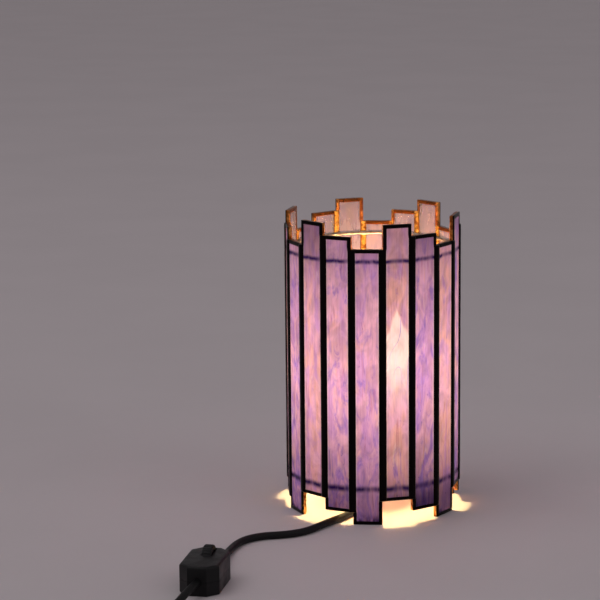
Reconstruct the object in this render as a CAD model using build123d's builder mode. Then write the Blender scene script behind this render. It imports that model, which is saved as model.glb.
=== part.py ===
"""Stained glass table lamp: a lantern of eighteen upright glass strips, soldered edge to edge in three steps of
height round two wire hoops, with a candle bulb inside and a cord that carries a thumbwheel dimmer and a plug.

Millimetres, +Z up. The origin is on the table under the lantern's axis, and the front strip faces -Y."""
from build123d import *
import os
from math import cos, pi, radians, sin, tan

os.makedirs("parts", exist_ok=True)

# ---- driving dimensions: the lantern
STRIPS = 18
STEP_ANGLE = 360 / STRIPS
STRIP_STEPS = (0, 20, 10)  # how far above the table each strip of a group of three starts
STRIP_LENGTH = 230.0
STRIP_WIDTH = 23.8
INNER_APOTHEM = 68.1
FOIL = 0.35
FOIL_LAP = 2.4
GLASS_THICKNESS = 3.0
STRIP_THICKNESS = GLASS_THICKNESS + 2 * FOIL
SEAM_CROWN_RADIUS = 73.8
SEAM_BEAD_RADIUS = 67.8

# ---- the two hoops inside, and the spider that carries the lampholder
HOOP_WIRE = 2.5
HOOP_RADIUS = 66.65
HOOP_HEIGHTS = {"bottom_hoop": 30.0, "top_hoop": 220.0}
ARMS = 3
ARM_WIDTH = 8.0
ARM_THICKNESS = 2.0
ARM_REACH = 67.3
SPIDER_HUB_RADIUS = 13.0
SPIDER_BOTTOM = HOOP_HEIGHTS["bottom_hoop"] + HOOP_WIRE / 2
SPIDER_TOP = SPIDER_BOTTOM + ARM_THICKNESS

# ---- the E14 lampholder, on a hollow M10 nipple
NIPPLE_RADIUS = 5.0
NIPPLE_BORE = 3.5
NIPPLE_BOTTOM = 24.25
NIPPLE_TOP = 41.25
NUT_FLATS = 14.0
NUT_HEIGHT = 4.0
FIT_GAP = 0.1
GRIP_BOTTOM = 21.25
GRIP_RADIUS = 7.0
HOLDER_JOIN = 51.0
HOLDER_TOP = 78.0
HOLDER_RADIUS = 14.0
HOLDER_WALL = 1.6
HOLDER_SEAT_RADIUS = 9.0
SHELL_RADIUS = 13.5
SHELL_MOUTH_RADIUS = 9.2
BLOCK_RADIUS = 11.5
BLOCK_BOTTOM = 44.0
BLOCK_TOP = 57.0
TERMINAL_SPACING = 15.0
TERMINAL_RADIUS = 1.6
SLEEVE_TOP = 75.0
SLEEVE_RADIUS = 7.2
SLEEVE_WALL = 0.4
SPRING_RADII = (1.5, 3.0)
SPRING_HEIGHTS = (2.5, 0.8)

# ---- the clear filament candle bulb, screwed home
THREAD_PITCH = 2.822
THREAD_TURNS = 5
THREAD_ROOT_RADIUS = 6.3
THREAD_ROUND = 0.55
BULB_CONTACT_BOTTOM = 60.5
CAP_BOTTOM = 63.0
CAP_TOP = 85.5
BULB_TOP = 158.5
BULB_RADIUS = 17.5
BULB_WIDEST = 113.0
BULB_WALL = 0.8
FILAMENTS = 4
FILAMENT_LOW = 97.0
FILAMENT_HIGH = 134.0
FILAMENT_RADII = (0.3, 0.8)

# ---- the cord, with a dimmer on it
CORD_RADIUS = 3.0
CORD_ROUTE = [
    (0, 0, 22.75), (0, 0, 13.5), (-1.6, -5.2, 5.6), (-4.2, -13.4, 3), (-9.5, -29.5, 3), (-17.5, -54, 3),
    (-27.5, -69.5, 3), (-36.8, -83.5, 3), (-44, -96.8, 3), (-54.2, -107.6, 3), (-67.6, -113.9, 3),
    (-80.8, -116.8, 3), (-92.2, -124.6, 3), (-99.6, -136.6, 3), (-103.4, -152.5, 3), (-105.2, -168, 3.6),
    (-106.9, -183.8, 8), (-108.5, -198.3, 10.8), (-110.2, -213.9, 11),
]
MAINS_ROUTE = [
    (-115.8, -263.7, 11), (-118.4, -275, 10.8), (-122.9, -286.8, 7.9), (-127.9, -298.4, 4), (-131.8, -311, 3),
    (-134.2, -325, 3), (-134.5, -340, 3), (-133.2, -354, 3),
]
COIL_CENTRE = (-94.0, -368.0)
COIL_RADII = (24.0, 42.0)
COIL_HEIGHT = 12.0
COIL_EDGE = 4.0
PLUG_ROUTE = [
    (-83, -407.2, 8.6), (-74.5, -406.9, 6.8), (-62, -403.6, 4.6), (-51, -397.5, 5.2), (-41.5, -390.5, 6.85),
]
DIMMER_CENTRE = (-113.0, -238.8)
DIMMER_TURN = 6.3  # degrees that the dimmer's long axis turns from Y towards X
DIMMER_LENGTH = 52.0
DIMMER_WIDTH = 31.0
DIMMER_JOIN = 11.0
DIMMER_TOP = 23.2
DIMMER_CORNER = (8.0, 7.0)
DIMMER_WALL = 1.8
WHEEL_PLACE = 13.0
WHEEL_RADIUS = 10.5
WHEEL_THICKNESS = 8.0
WHEEL_GROOVES = 24
WHEEL_GROOVE_RADIUS = 0.6
WHEEL_SLOT_GAP = 0.4
WHEEL_AXLE_HEIGHT = 18.2
WHEEL_AXLE_RADIUS = 2.0
WHEEL_AXLE_LENGTH = 16.0
CRADLE_THICKNESS = 2.4
BOSS_RADIUS = 3.0
SCREW_HEAD_RADIUS = 2.4
SCREW_HEAD_BOTTOM = 0.8
SCREW_HEAD_HEIGHT = 2.0
SCREW_SHANK_RADIUS = 1.2
PLUG_TURN = 36.4  # degrees that the plug points round from X towards Y
PLUG_LENGTH = 36.0
PLUG_WIDTH = 35.3
PLUG_HEIGHT = 13.7
PLUG_SHOULDER = 20.0
PLUG_NECK = (8.0, 5.5)
PLUG_TAIL = 4.5
PIN_RADIUS = 2.0
PIN_LENGTH = 19.0
PIN_SPACING = 18.6


def save(part, name):
    """Label one finished piece and write it as its own node."""
    part.label = name
    export_step(part, f"parts/{name}.step")


def outward(angle):
    """The level unit vector that points away from the axis, at an angle round from -Y towards +X."""
    return Vector(sin(radians(angle)), -cos(radians(angle)), 0)


def strip_plane(number):
    """The inner face of one strip, with its origin at the middle of the face and its normal outward."""
    angle = number * STEP_ANGLE
    height = STRIP_STEPS[number % len(STRIP_STEPS)] + STRIP_LENGTH / 2
    along = Vector(cos(radians(angle)), sin(radians(angle)), 0)
    return Plane(origin=outward(angle) * INNER_APOTHEM + Vector(0, 0, height), x_dir=along, z_dir=outward(angle))


def seam_point(across, depth):
    """A strip's section point, seen in the section of the seam beside it: (distance from the axis, sideways)."""
    turn = radians(STEP_ANGLE / 2)
    return (depth * cos(turn) - across * sin(turn), across * cos(turn) + depth * sin(turn))


def mirrored(point):
    return (point[0], -point[1])


def cord_path(route):
    """Straight runs joined by arcs, each as large as the shorter of its two runs allows."""
    points = [Vector(*point) for point in route]
    radii = []
    for before, here, after in zip(points, points[1:], points[2:]):
        turn = (here - before).get_angle(after - here)
        run = min((here - before).length, (after - here).length)
        radii.append(0.45 * run / tan(radians(turn / 2)))
    print("arc radii:", [round(radius, 1) for radius in radii])
    return points, radii


def print_volume(name, part, length):
    print(f"{name}: volume {part.volume:.0f}, section times length {pi * CORD_RADIUS**2 * length:.0f}")


# ---- the glass strips, each with its copper foil folded round the edges
for number in range(STRIPS):
    inner_face = strip_plane(number)
    with BuildPart() as glass_strip:
        with BuildSketch(inner_face.offset(FOIL)):
            Rectangle(STRIP_WIDTH - 2 * FOIL, STRIP_LENGTH - 2 * FOIL)
        extrude(amount=GLASS_THICKNESS)
    save(glass_strip.part, f"glass_strip_{number + 1:02d}")

    with BuildPart() as foil_frame:
        with BuildSketch(inner_face):
            Rectangle(STRIP_WIDTH, STRIP_LENGTH)
        extrude(amount=STRIP_THICKNESS)
        with BuildSketch(inner_face.offset(FOIL)):
            Rectangle(STRIP_WIDTH - 2 * FOIL, STRIP_LENGTH - 2 * FOIL)
        extrude(amount=GLASS_THICKNESS, mode=Mode.SUBTRACT)
        with BuildSketch(inner_face):
            Rectangle(STRIP_WIDTH - 2 * FOIL_LAP, STRIP_LENGTH - 2 * FOIL_LAP)
        extrude(amount=STRIP_THICKNESS, mode=Mode.SUBTRACT)
    save(foil_frame.part, f"foil_frame_{number + 1:02d}")

# ---- the solder seams: a crown outside, a bead inside, and solder in the wedge between two neighbours
edge = -STRIP_WIDTH / 2
outer_lap = seam_point(edge + FOIL_LAP, INNER_APOTHEM + STRIP_THICKNESS)
outer_corner = seam_point(edge, INNER_APOTHEM + STRIP_THICKNESS)
inner_corner = seam_point(edge, INNER_APOTHEM)
inner_lap = seam_point(edge + FOIL_LAP, INNER_APOTHEM)
with BuildPart() as solder_seams:
    for number in range(STRIPS):
        step = STRIP_STEPS[number % len(STRIP_STEPS)]
        next_step = STRIP_STEPS[(number + 1) % len(STRIP_STEPS)]
        bottom = max(step, next_step)
        top = min(step, next_step) + STRIP_LENGTH
        away = outward((number + 0.5) * STEP_ANGLE)
        with BuildSketch(Plane(origin=(0, 0, bottom), x_dir=away, z_dir=(0, 0, 1))):
            with BuildLine():
                ThreePointArc(outer_lap, (SEAM_CROWN_RADIUS, 0), mirrored(outer_lap))
                Polyline(*[mirrored(p) for p in (outer_lap, outer_corner, inner_corner, inner_lap)])
                ThreePointArc(mirrored(inner_lap), (SEAM_BEAD_RADIUS, 0), inner_lap)
                Polyline(inner_lap, inner_corner, outer_corner, outer_lap)
            make_face()
        extrude(amount=top - bottom)
save(solder_seams.part, "solder_seams")

# ---- the wire hoops that hold the lantern round
for name, height in HOOP_HEIGHTS.items():
    with BuildPart() as hoop:
        with BuildSketch(Plane.XZ):
            with Locations((HOOP_RADIUS, height)):
                Circle(HOOP_WIRE / 2)
        revolve(axis=Axis.Z)
    save(hoop.part, name)

# ---- the spider: a hub and three arms, soldered on top of the bottom hoop
with BuildPart() as holder_spider:
    with BuildSketch(Plane.XY.offset(SPIDER_BOTTOM)):
        Circle(SPIDER_HUB_RADIUS)
        with PolarLocations(0, ARMS, start_angle=-90):
            with Locations((ARM_REACH / 2, 0)):
                Rectangle(ARM_REACH, ARM_WIDTH)
        Circle(NIPPLE_RADIUS + FIT_GAP, mode=Mode.SUBTRACT)
    extrude(amount=ARM_THICKNESS)
save(holder_spider.part, "holder_spider")

# ---- the lampholder, from the cord up
with BuildPart() as cord_grip:
    with BuildSketch(Plane.XY.offset(GRIP_BOTTOM)):
        Circle(GRIP_RADIUS)
        Circle(CORD_RADIUS + FIT_GAP / 2, mode=Mode.SUBTRACT)
    extrude(amount=SPIDER_BOTTOM - NUT_HEIGHT - GRIP_BOTTOM)
    with BuildSketch(Plane.XY.offset(NIPPLE_BOTTOM)):
        Circle(NIPPLE_RADIUS + FIT_GAP)
    extrude(amount=NUT_HEIGHT, mode=Mode.SUBTRACT)
    chamfer(cord_grip.faces().sort_by(Axis.Z)[0].edges().sort_by(SortBy.RADIUS)[-1], 1.2)
save(cord_grip.part, "cord_grip")

with BuildPart() as lock_nut:
    with BuildSketch(Plane.XY.offset(SPIDER_BOTTOM - NUT_HEIGHT)):
        RegularPolygon(NUT_FLATS / 2, 6, major_radius=False)
        Circle(NIPPLE_RADIUS + FIT_GAP, mode=Mode.SUBTRACT)
    extrude(amount=NUT_HEIGHT)
save(lock_nut.part, "lock_nut")

with BuildPart() as hollow_nipple:
    with BuildSketch(Plane.XY.offset(NIPPLE_BOTTOM)):
        Circle(NIPPLE_RADIUS)
        Circle(NIPPLE_BORE, mode=Mode.SUBTRACT)
    extrude(amount=NIPPLE_TOP - NIPPLE_BOTTOM)
save(hollow_nipple.part, "hollow_nipple")

shoulder = SPIDER_TOP + HOLDER_RADIUS - HOLDER_SEAT_RADIUS
with BuildPart() as lampholder_cap:
    with BuildSketch(Plane.XZ):
        with BuildLine():
            Line((NIPPLE_RADIUS + FIT_GAP, SPIDER_TOP), (HOLDER_SEAT_RADIUS, SPIDER_TOP))
            CenterArc((HOLDER_SEAT_RADIUS, shoulder), HOLDER_RADIUS - HOLDER_SEAT_RADIUS, -90, 90)
            Polyline(
                (HOLDER_RADIUS, shoulder), (HOLDER_RADIUS, HOLDER_JOIN),
                (HOLDER_RADIUS - HOLDER_WALL, HOLDER_JOIN), (HOLDER_RADIUS - HOLDER_WALL, shoulder),
            )
            CenterArc((HOLDER_SEAT_RADIUS, shoulder), HOLDER_RADIUS - HOLDER_WALL - HOLDER_SEAT_RADIUS, 0, -90)
            Polyline(
                (HOLDER_SEAT_RADIUS, SPIDER_TOP + HOLDER_WALL),
                (NIPPLE_RADIUS + FIT_GAP, SPIDER_TOP + HOLDER_WALL), (NIPPLE_RADIUS + FIT_GAP, SPIDER_TOP),
            )
        make_face()
    revolve(axis=Axis.Z)
save(lampholder_cap.part, "lampholder_cap")

with BuildPart() as lampholder_shell:
    with BuildSketch(Plane.XZ):
        with BuildLine():
            Polyline(
                (SHELL_RADIUS - HOLDER_WALL, HOLDER_JOIN), (SHELL_RADIUS, HOLDER_JOIN),
                (SHELL_RADIUS, HOLDER_TOP - 2), (SHELL_RADIUS - 1.5, HOLDER_TOP),
                (SHELL_MOUTH_RADIUS, HOLDER_TOP), (SHELL_MOUTH_RADIUS, HOLDER_TOP - 2),
                (SHELL_RADIUS - HOLDER_WALL, HOLDER_TOP - 3), close=True,
            )
        make_face()
    revolve(axis=Axis.Z)
save(lampholder_shell.part, "lampholder_shell")

with BuildPart() as lampholder_terminal_block:
    with BuildSketch(Plane.XY.offset(BLOCK_BOTTOM)):
        Circle(BLOCK_RADIUS)
        with PolarLocations(TERMINAL_SPACING / 2, 2):
            Circle(TERMINAL_RADIUS, mode=Mode.SUBTRACT)
    extrude(amount=BLOCK_TOP - BLOCK_BOTTOM)
save(lampholder_terminal_block.part, "lampholder_terminal_block")

with BuildPart() as lampholder_screw_sleeve:
    with BuildSketch(Plane.XY.offset(BLOCK_TOP)):
        Circle(SLEEVE_RADIUS + SLEEVE_WALL)
        Circle(SLEEVE_RADIUS, mode=Mode.SUBTRACT)
    extrude(amount=SLEEVE_TOP - BLOCK_TOP)
    with BuildSketch(Plane.XY.offset(SLEEVE_TOP)):
        Circle(SLEEVE_RADIUS + 3 * SLEEVE_WALL)
        Circle(SLEEVE_RADIUS, mode=Mode.SUBTRACT)
    extrude(amount=-SLEEVE_WALL)
save(lampholder_screw_sleeve.part, "lampholder_screw_sleeve")

with BuildPart() as lampholder_contact_spring:
    with BuildSketch(Plane.XY.offset(BLOCK_TOP)):
        Circle(SPRING_RADII[0])
    extrude(amount=SPRING_HEIGHTS[0])
    with BuildSketch(Plane.XY.offset(BLOCK_TOP + SPRING_HEIGHTS[0])):
        Circle(SPRING_RADII[1])
    extrude(amount=SPRING_HEIGHTS[1])
save(lampholder_contact_spring.part, "lampholder_contact_spring")

# ---- the bulb
with BuildPart() as bulb_tip_contact:
    with BuildSketch(Plane.XZ):
        with BuildLine():
            ThreePointArc((0, BULB_CONTACT_BOTTOM), (2.3, 61.1), (3.4, CAP_BOTTOM))
            Polyline((3.4, CAP_BOTTOM), (0, CAP_BOTTOM), (0, BULB_CONTACT_BOTTOM))
        make_face()
    revolve(axis=Axis.Z)
save(bulb_tip_contact.part, "bulb_tip_contact")

with BuildPart() as bulb_screw_cap:
    with BuildSketch(Plane.XZ):
        with BuildLine():
            Polyline(
                (0, CAP_BOTTOM), (3.6, CAP_BOTTOM), (THREAD_ROOT_RADIUS, 65), (THREAD_ROOT_RADIUS, 79.5),
                (8.2, 81), (8.2, CAP_TOP), (7.4, CAP_TOP), (7.4, 81.6), (5.5, 80), (5.5, 66), (0, 66),
                (0, CAP_BOTTOM),
            )
        make_face()
        with Locations(*[(THREAD_ROOT_RADIUS, 66.5 + turn * THREAD_PITCH) for turn in range(THREAD_TURNS)]):
            Circle(THREAD_ROUND)
    revolve(axis=Axis.Z)
save(bulb_screw_cap.part, "bulb_screw_cap")

bulb_outline = [(8, CAP_TOP), (12.6, 93), (16.4, 102.5), (BULB_RADIUS, BULB_WIDEST), (15.4, 128), (10.2, 143.5),
                (4.4, 154.5), (0, BULB_TOP)]
bulb_lining = [(max(radius - BULB_WALL, 0), height) for radius, height in bulb_outline]
bulb_lining[-1] = (0, BULB_TOP - 2 * BULB_WALL)
with BuildPart() as bulb_envelope:
    with BuildSketch(Plane.XZ):
        with BuildLine():
            Spline(*bulb_outline, tangents=((0.35, 1), (-1, 0.4)))
            Line(bulb_outline[-1], bulb_lining[-1])
            Spline(*bulb_lining, tangents=((0.35, 1), (-1, 0.4)))
            Line(bulb_lining[0], bulb_outline[0])
        make_face()
    revolve(axis=Axis.Z)
save(bulb_envelope.part, "bulb_envelope")

with BuildPart() as bulb_filaments:
    with BuildSketch(Plane.XZ):
        with BuildLine():
            Polyline((0, CAP_TOP - 2), (5.2, CAP_TOP - 2), (2, 92), (2, FILAMENT_LOW), (0, FILAMENT_LOW),
                     (0, CAP_TOP - 2))
        make_face()
    revolve(axis=Axis.Z)
    for number in range(FILAMENTS):
        side = outward(45 + number * 360 / FILAMENTS)
        foot = side * 1.4 + Vector(0, 0, FILAMENT_LOW - 0.4)
        low = side * 4.2 + Vector(0, 0, FILAMENT_LOW + 3)
        high = side * 5.2 + Vector(0, 0, FILAMENT_HIGH)
        crown = Vector(0, 0, FILAMENT_HIGH + 2)
        lead, strip = FILAMENT_RADII
        for start, end, radius in ((foot, low, lead), (low, high, strip), (high, crown, lead)):
            with BuildSketch(Plane(origin=start, z_dir=end - start)):
                Circle(radius)
            extrude(amount=(end - start).length + 0.2)
save(bulb_filaments.part, "bulb_filaments")

# ---- the lamp's side of the cord
points, radii = cord_path(CORD_ROUTE)
with BuildPart() as cord_lamp_side:
    with BuildLine() as route:
        FilletPolyline(*points, radius=radii)
    with BuildSketch(Plane(origin=points[0], z_dir=points[1] - points[0])):
        Circle(CORD_RADIUS)
    sweep()
print_volume("cord_lamp_side", cord_lamp_side.part, route.wire().length)
save(cord_lamp_side.part, "cord_lamp_side")

# ---- the dimmer: two shells, a thumbwheel in a slot of the upper one, and two screws
half_length, half_width = DIMMER_LENGTH / 2, DIMMER_WIDTH / 2
corner_x, corner_y = DIMMER_CORNER
dimmer_outline = [
    (half_length, half_width - corner_y), (half_length - corner_x, half_width),
    (-half_length + corner_x, half_width), (-half_length, half_width - corner_y),
    (-half_length, -half_width + corner_y), (-half_length + corner_x, -half_width),
    (half_length - corner_x, -half_width), (half_length, -half_width + corner_y),
]


def dimmer_plane(height):
    """A level plane in the dimmer, whose X runs along it towards the lamp."""
    turn = radians(DIMMER_TURN)
    return Plane(origin=(*DIMMER_CENTRE, height), x_dir=(sin(turn), cos(turn), 0), z_dir=(0, 0, 1))


def wheel_plane(sideways):
    """An upright plane across the wheel's axle, so far along the axle from the wheel's middle."""
    level = dimmer_plane(WHEEL_AXLE_HEIGHT)
    middle = level.origin + level.x_dir * WHEEL_PLACE + level.y_dir * sideways
    return Plane(origin=middle, x_dir=-level.x_dir, z_dir=level.y_dir)


cradle_place = (WHEEL_AXLE_LENGTH - CRADLE_THICKNESS) / 2
screw_places = [(-half_length + corner_x, 0), (WHEEL_PLACE - WHEEL_RADIUS - 5.5, 0)]
with BuildPart() as dimmer_lower_shell:
    with BuildSketch(dimmer_plane(0)):
        Polygon(*dimmer_outline, align=None)
    extrude(amount=DIMMER_JOIN)
    chamfer(dimmer_lower_shell.faces().sort_by(Axis.Z)[0].edges(), 1.2)
    with BuildSketch(dimmer_plane(DIMMER_WALL)):
        Polygon(*dimmer_outline, align=None)
        offset(amount=-DIMMER_WALL, kind=Kind.INTERSECTION, mode=Mode.REPLACE)
        with Locations(*screw_places):
            Circle(BOSS_RADIUS, mode=Mode.SUBTRACT)
    extrude(amount=DIMMER_JOIN, mode=Mode.SUBTRACT)
    with BuildSketch(dimmer_plane(0)):
        with Locations(*screw_places):
            Circle(SCREW_SHANK_RADIUS + FIT_GAP)
    extrude(amount=DIMMER_JOIN, mode=Mode.SUBTRACT)
    with BuildSketch(dimmer_plane(0)):
        with Locations(*screw_places):
            Circle(SCREW_HEAD_RADIUS + 2 * FIT_GAP)
    extrude(amount=SCREW_HEAD_BOTTOM + SCREW_HEAD_HEIGHT + 2 * FIT_GAP, mode=Mode.SUBTRACT)
    with BuildSketch(dimmer_plane(DIMMER_WALL)):
        with Locations((WHEEL_PLACE, cradle_place), (WHEEL_PLACE, -cradle_place)):
            Rectangle(4 * WHEEL_AXLE_RADIUS, CRADLE_THICKNESS)
    extrude(amount=WHEEL_AXLE_HEIGHT - DIMMER_WALL)
    with BuildSketch(wheel_plane(-WHEEL_AXLE_LENGTH / 2)):
        SlotCenterPoint((0, 0), (0, 2 * WHEEL_AXLE_RADIUS), 2 * WHEEL_AXLE_RADIUS + FIT_GAP)
    extrude(amount=WHEEL_AXLE_LENGTH, mode=Mode.SUBTRACT)
save(dimmer_lower_shell.part, "dimmer_lower_shell")

with BuildPart() as dimmer_upper_shell:
    with BuildSketch(dimmer_plane(DIMMER_JOIN)):
        Polygon(*dimmer_outline, align=None)
    extrude(amount=DIMMER_TOP - DIMMER_JOIN)
    chamfer(dimmer_upper_shell.faces().sort_by(Axis.Z)[-1].edges(), 2)
    with BuildSketch(dimmer_plane(DIMMER_JOIN)):
        Polygon(*dimmer_outline, align=None)
        offset(amount=-DIMMER_WALL, kind=Kind.INTERSECTION, mode=Mode.REPLACE)
        with Locations(*screw_places):
            Circle(BOSS_RADIUS, mode=Mode.SUBTRACT)
    extrude(amount=DIMMER_TOP - DIMMER_JOIN - DIMMER_WALL, mode=Mode.SUBTRACT)
    with BuildSketch(dimmer_plane(DIMMER_JOIN)):
        with Locations((WHEEL_PLACE, 0)):
            Rectangle(2 * WHEEL_RADIUS, WHEEL_THICKNESS + 2 * WHEEL_SLOT_GAP)
    extrude(amount=DIMMER_TOP, mode=Mode.SUBTRACT)
    with BuildSketch(dimmer_plane(DIMMER_JOIN)):
        with Locations(*screw_places):
            Circle(SCREW_SHANK_RADIUS + FIT_GAP)
    extrude(amount=6, mode=Mode.SUBTRACT)
save(dimmer_upper_shell.part, "dimmer_upper_shell")

print("wheel axle through", wheel_plane(0).origin, "along", wheel_plane(0).z_dir)
with BuildPart() as dimmer_wheel:
    with BuildSketch(wheel_plane(-WHEEL_THICKNESS / 2)):
        Circle(WHEEL_RADIUS)
        with PolarLocations(WHEEL_RADIUS, WHEEL_GROOVES):
            Circle(WHEEL_GROOVE_RADIUS, mode=Mode.SUBTRACT)
    extrude(amount=WHEEL_THICKNESS)
    with BuildSketch(wheel_plane(-WHEEL_AXLE_LENGTH / 2)):
        Circle(WHEEL_AXLE_RADIUS)
    extrude(amount=WHEEL_AXLE_LENGTH)
save(dimmer_wheel.part, "dimmer_wheel")

with BuildPart() as dimmer_screws:
    with BuildSketch(dimmer_plane(SCREW_HEAD_BOTTOM)):
        with Locations(*screw_places):
            Circle(SCREW_HEAD_RADIUS)
    extrude(amount=SCREW_HEAD_HEIGHT)
    with BuildSketch(dimmer_plane(SCREW_HEAD_BOTTOM + SCREW_HEAD_HEIGHT)):
        with Locations(*screw_places):
            Circle(SCREW_SHANK_RADIUS)
    extrude(amount=DIMMER_JOIN)
save(dimmer_screws.part, "dimmer_screws")

# ---- the mains side of the cord: a free stretch, the coil, and a short stretch to the plug
with BuildPart() as cord_mains_side:
    for mains_route in (MAINS_ROUTE, PLUG_ROUTE):
        points, radii = cord_path(mains_route)
        with BuildLine() as route:
            FilletPolyline(*points, radius=radii)
        with BuildSketch(Plane(origin=points[0], z_dir=points[1] - points[0])):
            Circle(CORD_RADIUS)
        sweep(path=route.wire())
        print_volume("cord_mains_side so far", cord_mains_side.part, route.wire().length)
save(cord_mains_side.part, "cord_mains_side")

with BuildPart() as cord_coil:
    with BuildSketch(Plane.XY):
        with Locations(COIL_CENTRE):
            Circle(COIL_RADII[1])
            Circle(COIL_RADII[0], mode=Mode.SUBTRACT)
    extrude(amount=COIL_HEIGHT)
    fillet(cord_coil.edges().filter_by(GeomType.CIRCLE), COIL_EDGE)
save(cord_coil.part, "cord_coil")

# ---- the plug: a flat two-pin body that narrows towards the cord
plug_origin = Vector(*PLUG_ROUTE[-1])
with BuildPart() as plug:
    turn = radians(PLUG_TURN)
    plug_plane = Plane(
        origin=(plug_origin.X, plug_origin.Y, 0), x_dir=(cos(turn), sin(turn), 0), z_dir=(0, 0, 1)
    )
    with BuildSketch(plug_plane):
        with BuildLine():
            Polyline(
                (0, -PLUG_TAIL), mirrored(PLUG_NECK), (PLUG_SHOULDER, -PLUG_WIDTH / 2),
                (PLUG_LENGTH, -PLUG_WIDTH / 2), (PLUG_LENGTH, PLUG_WIDTH / 2), (PLUG_SHOULDER, PLUG_WIDTH / 2),
                PLUG_NECK, (0, PLUG_TAIL), close=True,
            )
        make_face()
    extrude(amount=PLUG_HEIGHT)
    fillet(plug.edges().filter_by(Axis.Z).group_by(Axis(plug_origin, plug_plane.x_dir))[-1], 3)
    face_origin = plug_origin + plug_plane.x_dir * PLUG_LENGTH
    with BuildSketch(Plane(origin=face_origin, x_dir=plug_plane.y_dir, z_dir=plug_plane.x_dir)):
        with Locations((-PIN_SPACING / 2, 0), (PIN_SPACING / 2, 0)):
            Circle(PIN_RADIUS)
    extrude(amount=PIN_LENGTH)
save(plug.part, "plug")
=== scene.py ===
"""Looks of the stained glass table lamp: glass, solder, bulb, cord, dimmer and plug, made round the frame."""

import math

import bmesh
import bpy
from bpy.props import FloatProperty, FloatVectorProperty, IntProperty, PointerProperty
from mathutils import Matrix, Vector, noise


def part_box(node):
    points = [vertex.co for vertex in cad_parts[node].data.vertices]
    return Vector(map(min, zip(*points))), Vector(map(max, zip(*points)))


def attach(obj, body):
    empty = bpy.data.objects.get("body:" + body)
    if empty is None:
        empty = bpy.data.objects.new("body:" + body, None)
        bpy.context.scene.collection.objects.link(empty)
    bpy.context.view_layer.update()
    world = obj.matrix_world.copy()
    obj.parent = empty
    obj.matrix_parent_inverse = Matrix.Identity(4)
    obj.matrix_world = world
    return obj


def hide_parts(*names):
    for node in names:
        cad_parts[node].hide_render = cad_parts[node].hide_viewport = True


bl_info = {
    "name": "Stained Glass Table Lamp",
    "version": (1, 0, 0),
    "blender": (4, 5, 0),
    "location": "3D View > Sidebar > Glass Lamp",
    "description": "Builds a copper-foiled glass lantern, its bulb and its cord round the packed frame",
    "category": "Object",
}

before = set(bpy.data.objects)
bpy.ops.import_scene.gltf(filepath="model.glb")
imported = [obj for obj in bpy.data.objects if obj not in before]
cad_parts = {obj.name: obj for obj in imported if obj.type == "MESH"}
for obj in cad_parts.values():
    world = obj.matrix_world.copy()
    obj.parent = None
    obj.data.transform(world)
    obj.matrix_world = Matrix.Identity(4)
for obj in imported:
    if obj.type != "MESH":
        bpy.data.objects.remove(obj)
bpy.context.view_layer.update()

# ---- sizes read from the frame, in metres
MM = 0.001
STRIPS = sum(name.startswith("glass_strip_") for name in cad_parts)
STEP = math.tau / STRIPS
STRIP_LOW, STRIP_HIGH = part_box("foil_frame_01")
STRIP_WIDTH = STRIP_HIGH.x - STRIP_LOW.x
STRIP_LENGTH = STRIP_HIGH.z - STRIP_LOW.z
INNER_FACE = -STRIP_HIGH.y
OUTER_FACE = -STRIP_LOW.y
STRIP_BOTTOMS = [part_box(f"foil_frame_{number + 1:02d}")[0].z for number in range(STRIPS)]
FOIL_LAP = 2.4 * MM
SEAM_CROWN = 73.8 * MM
SEAM_BEAD = 67.8 * MM
HOOPS = ("bottom_hoop", "top_hoop")

# ---- the glass, by its height over the table: where each change starts, and where it is full
LOW_END = (95 * MM, 15 * MM)
HIGH_END = (195 * MM, 245 * MM)
FOOT = (42 * MM, 16 * MM)
# where the glass gets darker in patches near the bottom
LOW_BAND = (11 * MM, 2 * MM)
# painted glow in the glass: where it rises from below and where it falls off above
PAINTED_GLOW_FROM_BELOW = (-10 * MM, 142 * MM, 0.14, 0.97)
PAINTED_GLOW_FROM_ABOVE = (250 * MM, 165 * MM, 0.66, 1.0)
# the painted bright spot where the bulb's light shows through one strip
PAINTED_SPOT_STRIP = 1.0
PAINTED_SPOT_TIP = 183 * MM
PAINTED_SPOT_FLARE = 0.45
PAINTED_SPOT_FOOT = (88 * MM, 140 * MM)
# the hoops' painted shadows on the glass
HOOP_SHADOWS = (4.2 * MM, 3.0 * MM)  # how far each hoop's line spreads up and down

# ---- the cord's route, as its tubes lie
CORD_ROUTE = [
    (0, 0, 22.75), (0, 0, 13.5), (-1.6, -5.2, 5.6), (-4.2, -13.4, 3), (-9.5, -29.5, 3), (-17.5, -54, 3),
    (-27.5, -69.5, 3), (-36.8, -83.5, 3), (-44, -96.8, 3), (-54.2, -107.6, 3), (-67.6, -113.9, 3),
    (-80.8, -116.8, 3), (-92.2, -124.6, 3), (-99.6, -136.6, 3), (-103.4, -152.5, 3), (-105.2, -168, 3.6),
    (-106.9, -183.8, 8), (-108.5, -198.3, 10.8), (-110.2, -213.9, 11),
]
MAINS_ROUTE = [
    (-115.8, -263.7, 11), (-118.4, -275, 10.8), (-122.9, -286.8, 7.9), (-127.9, -298.4, 4), (-131.8, -311, 3),
    (-134.2, -325, 3), (-134.5, -340, 3), (-133.2, -354, 3),
]
PLUG_ROUTE = [
    (-83, -407.2, 8.6), (-74.5, -406.9, 6.8), (-62, -403.6, 4.6), (-51, -397.5, 5.2), (-41.5, -390.5, 6.85),
]
COIL_CENTRE = Vector((-94, -368, 0)) * MM
COIL_TURNS = ((39, 3), (33, 3), (27, 3), (27, 9), (33, 9), (39, 9))
TURN_POINTS = 16
COIL_START = math.radians(195)
COIL_CHANGE = 0.25  # the last part of each turn, in which it moves to the next turn's place
COIL_WOBBLE = 0.35
TIE_TURN = math.radians(62)
TIE_WIDTH = 10 * MM
TIE_TOP = 13 * MM
TIE_WALL = 0.8 * MM
CORD_RADIUS = 3 * MM

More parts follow.
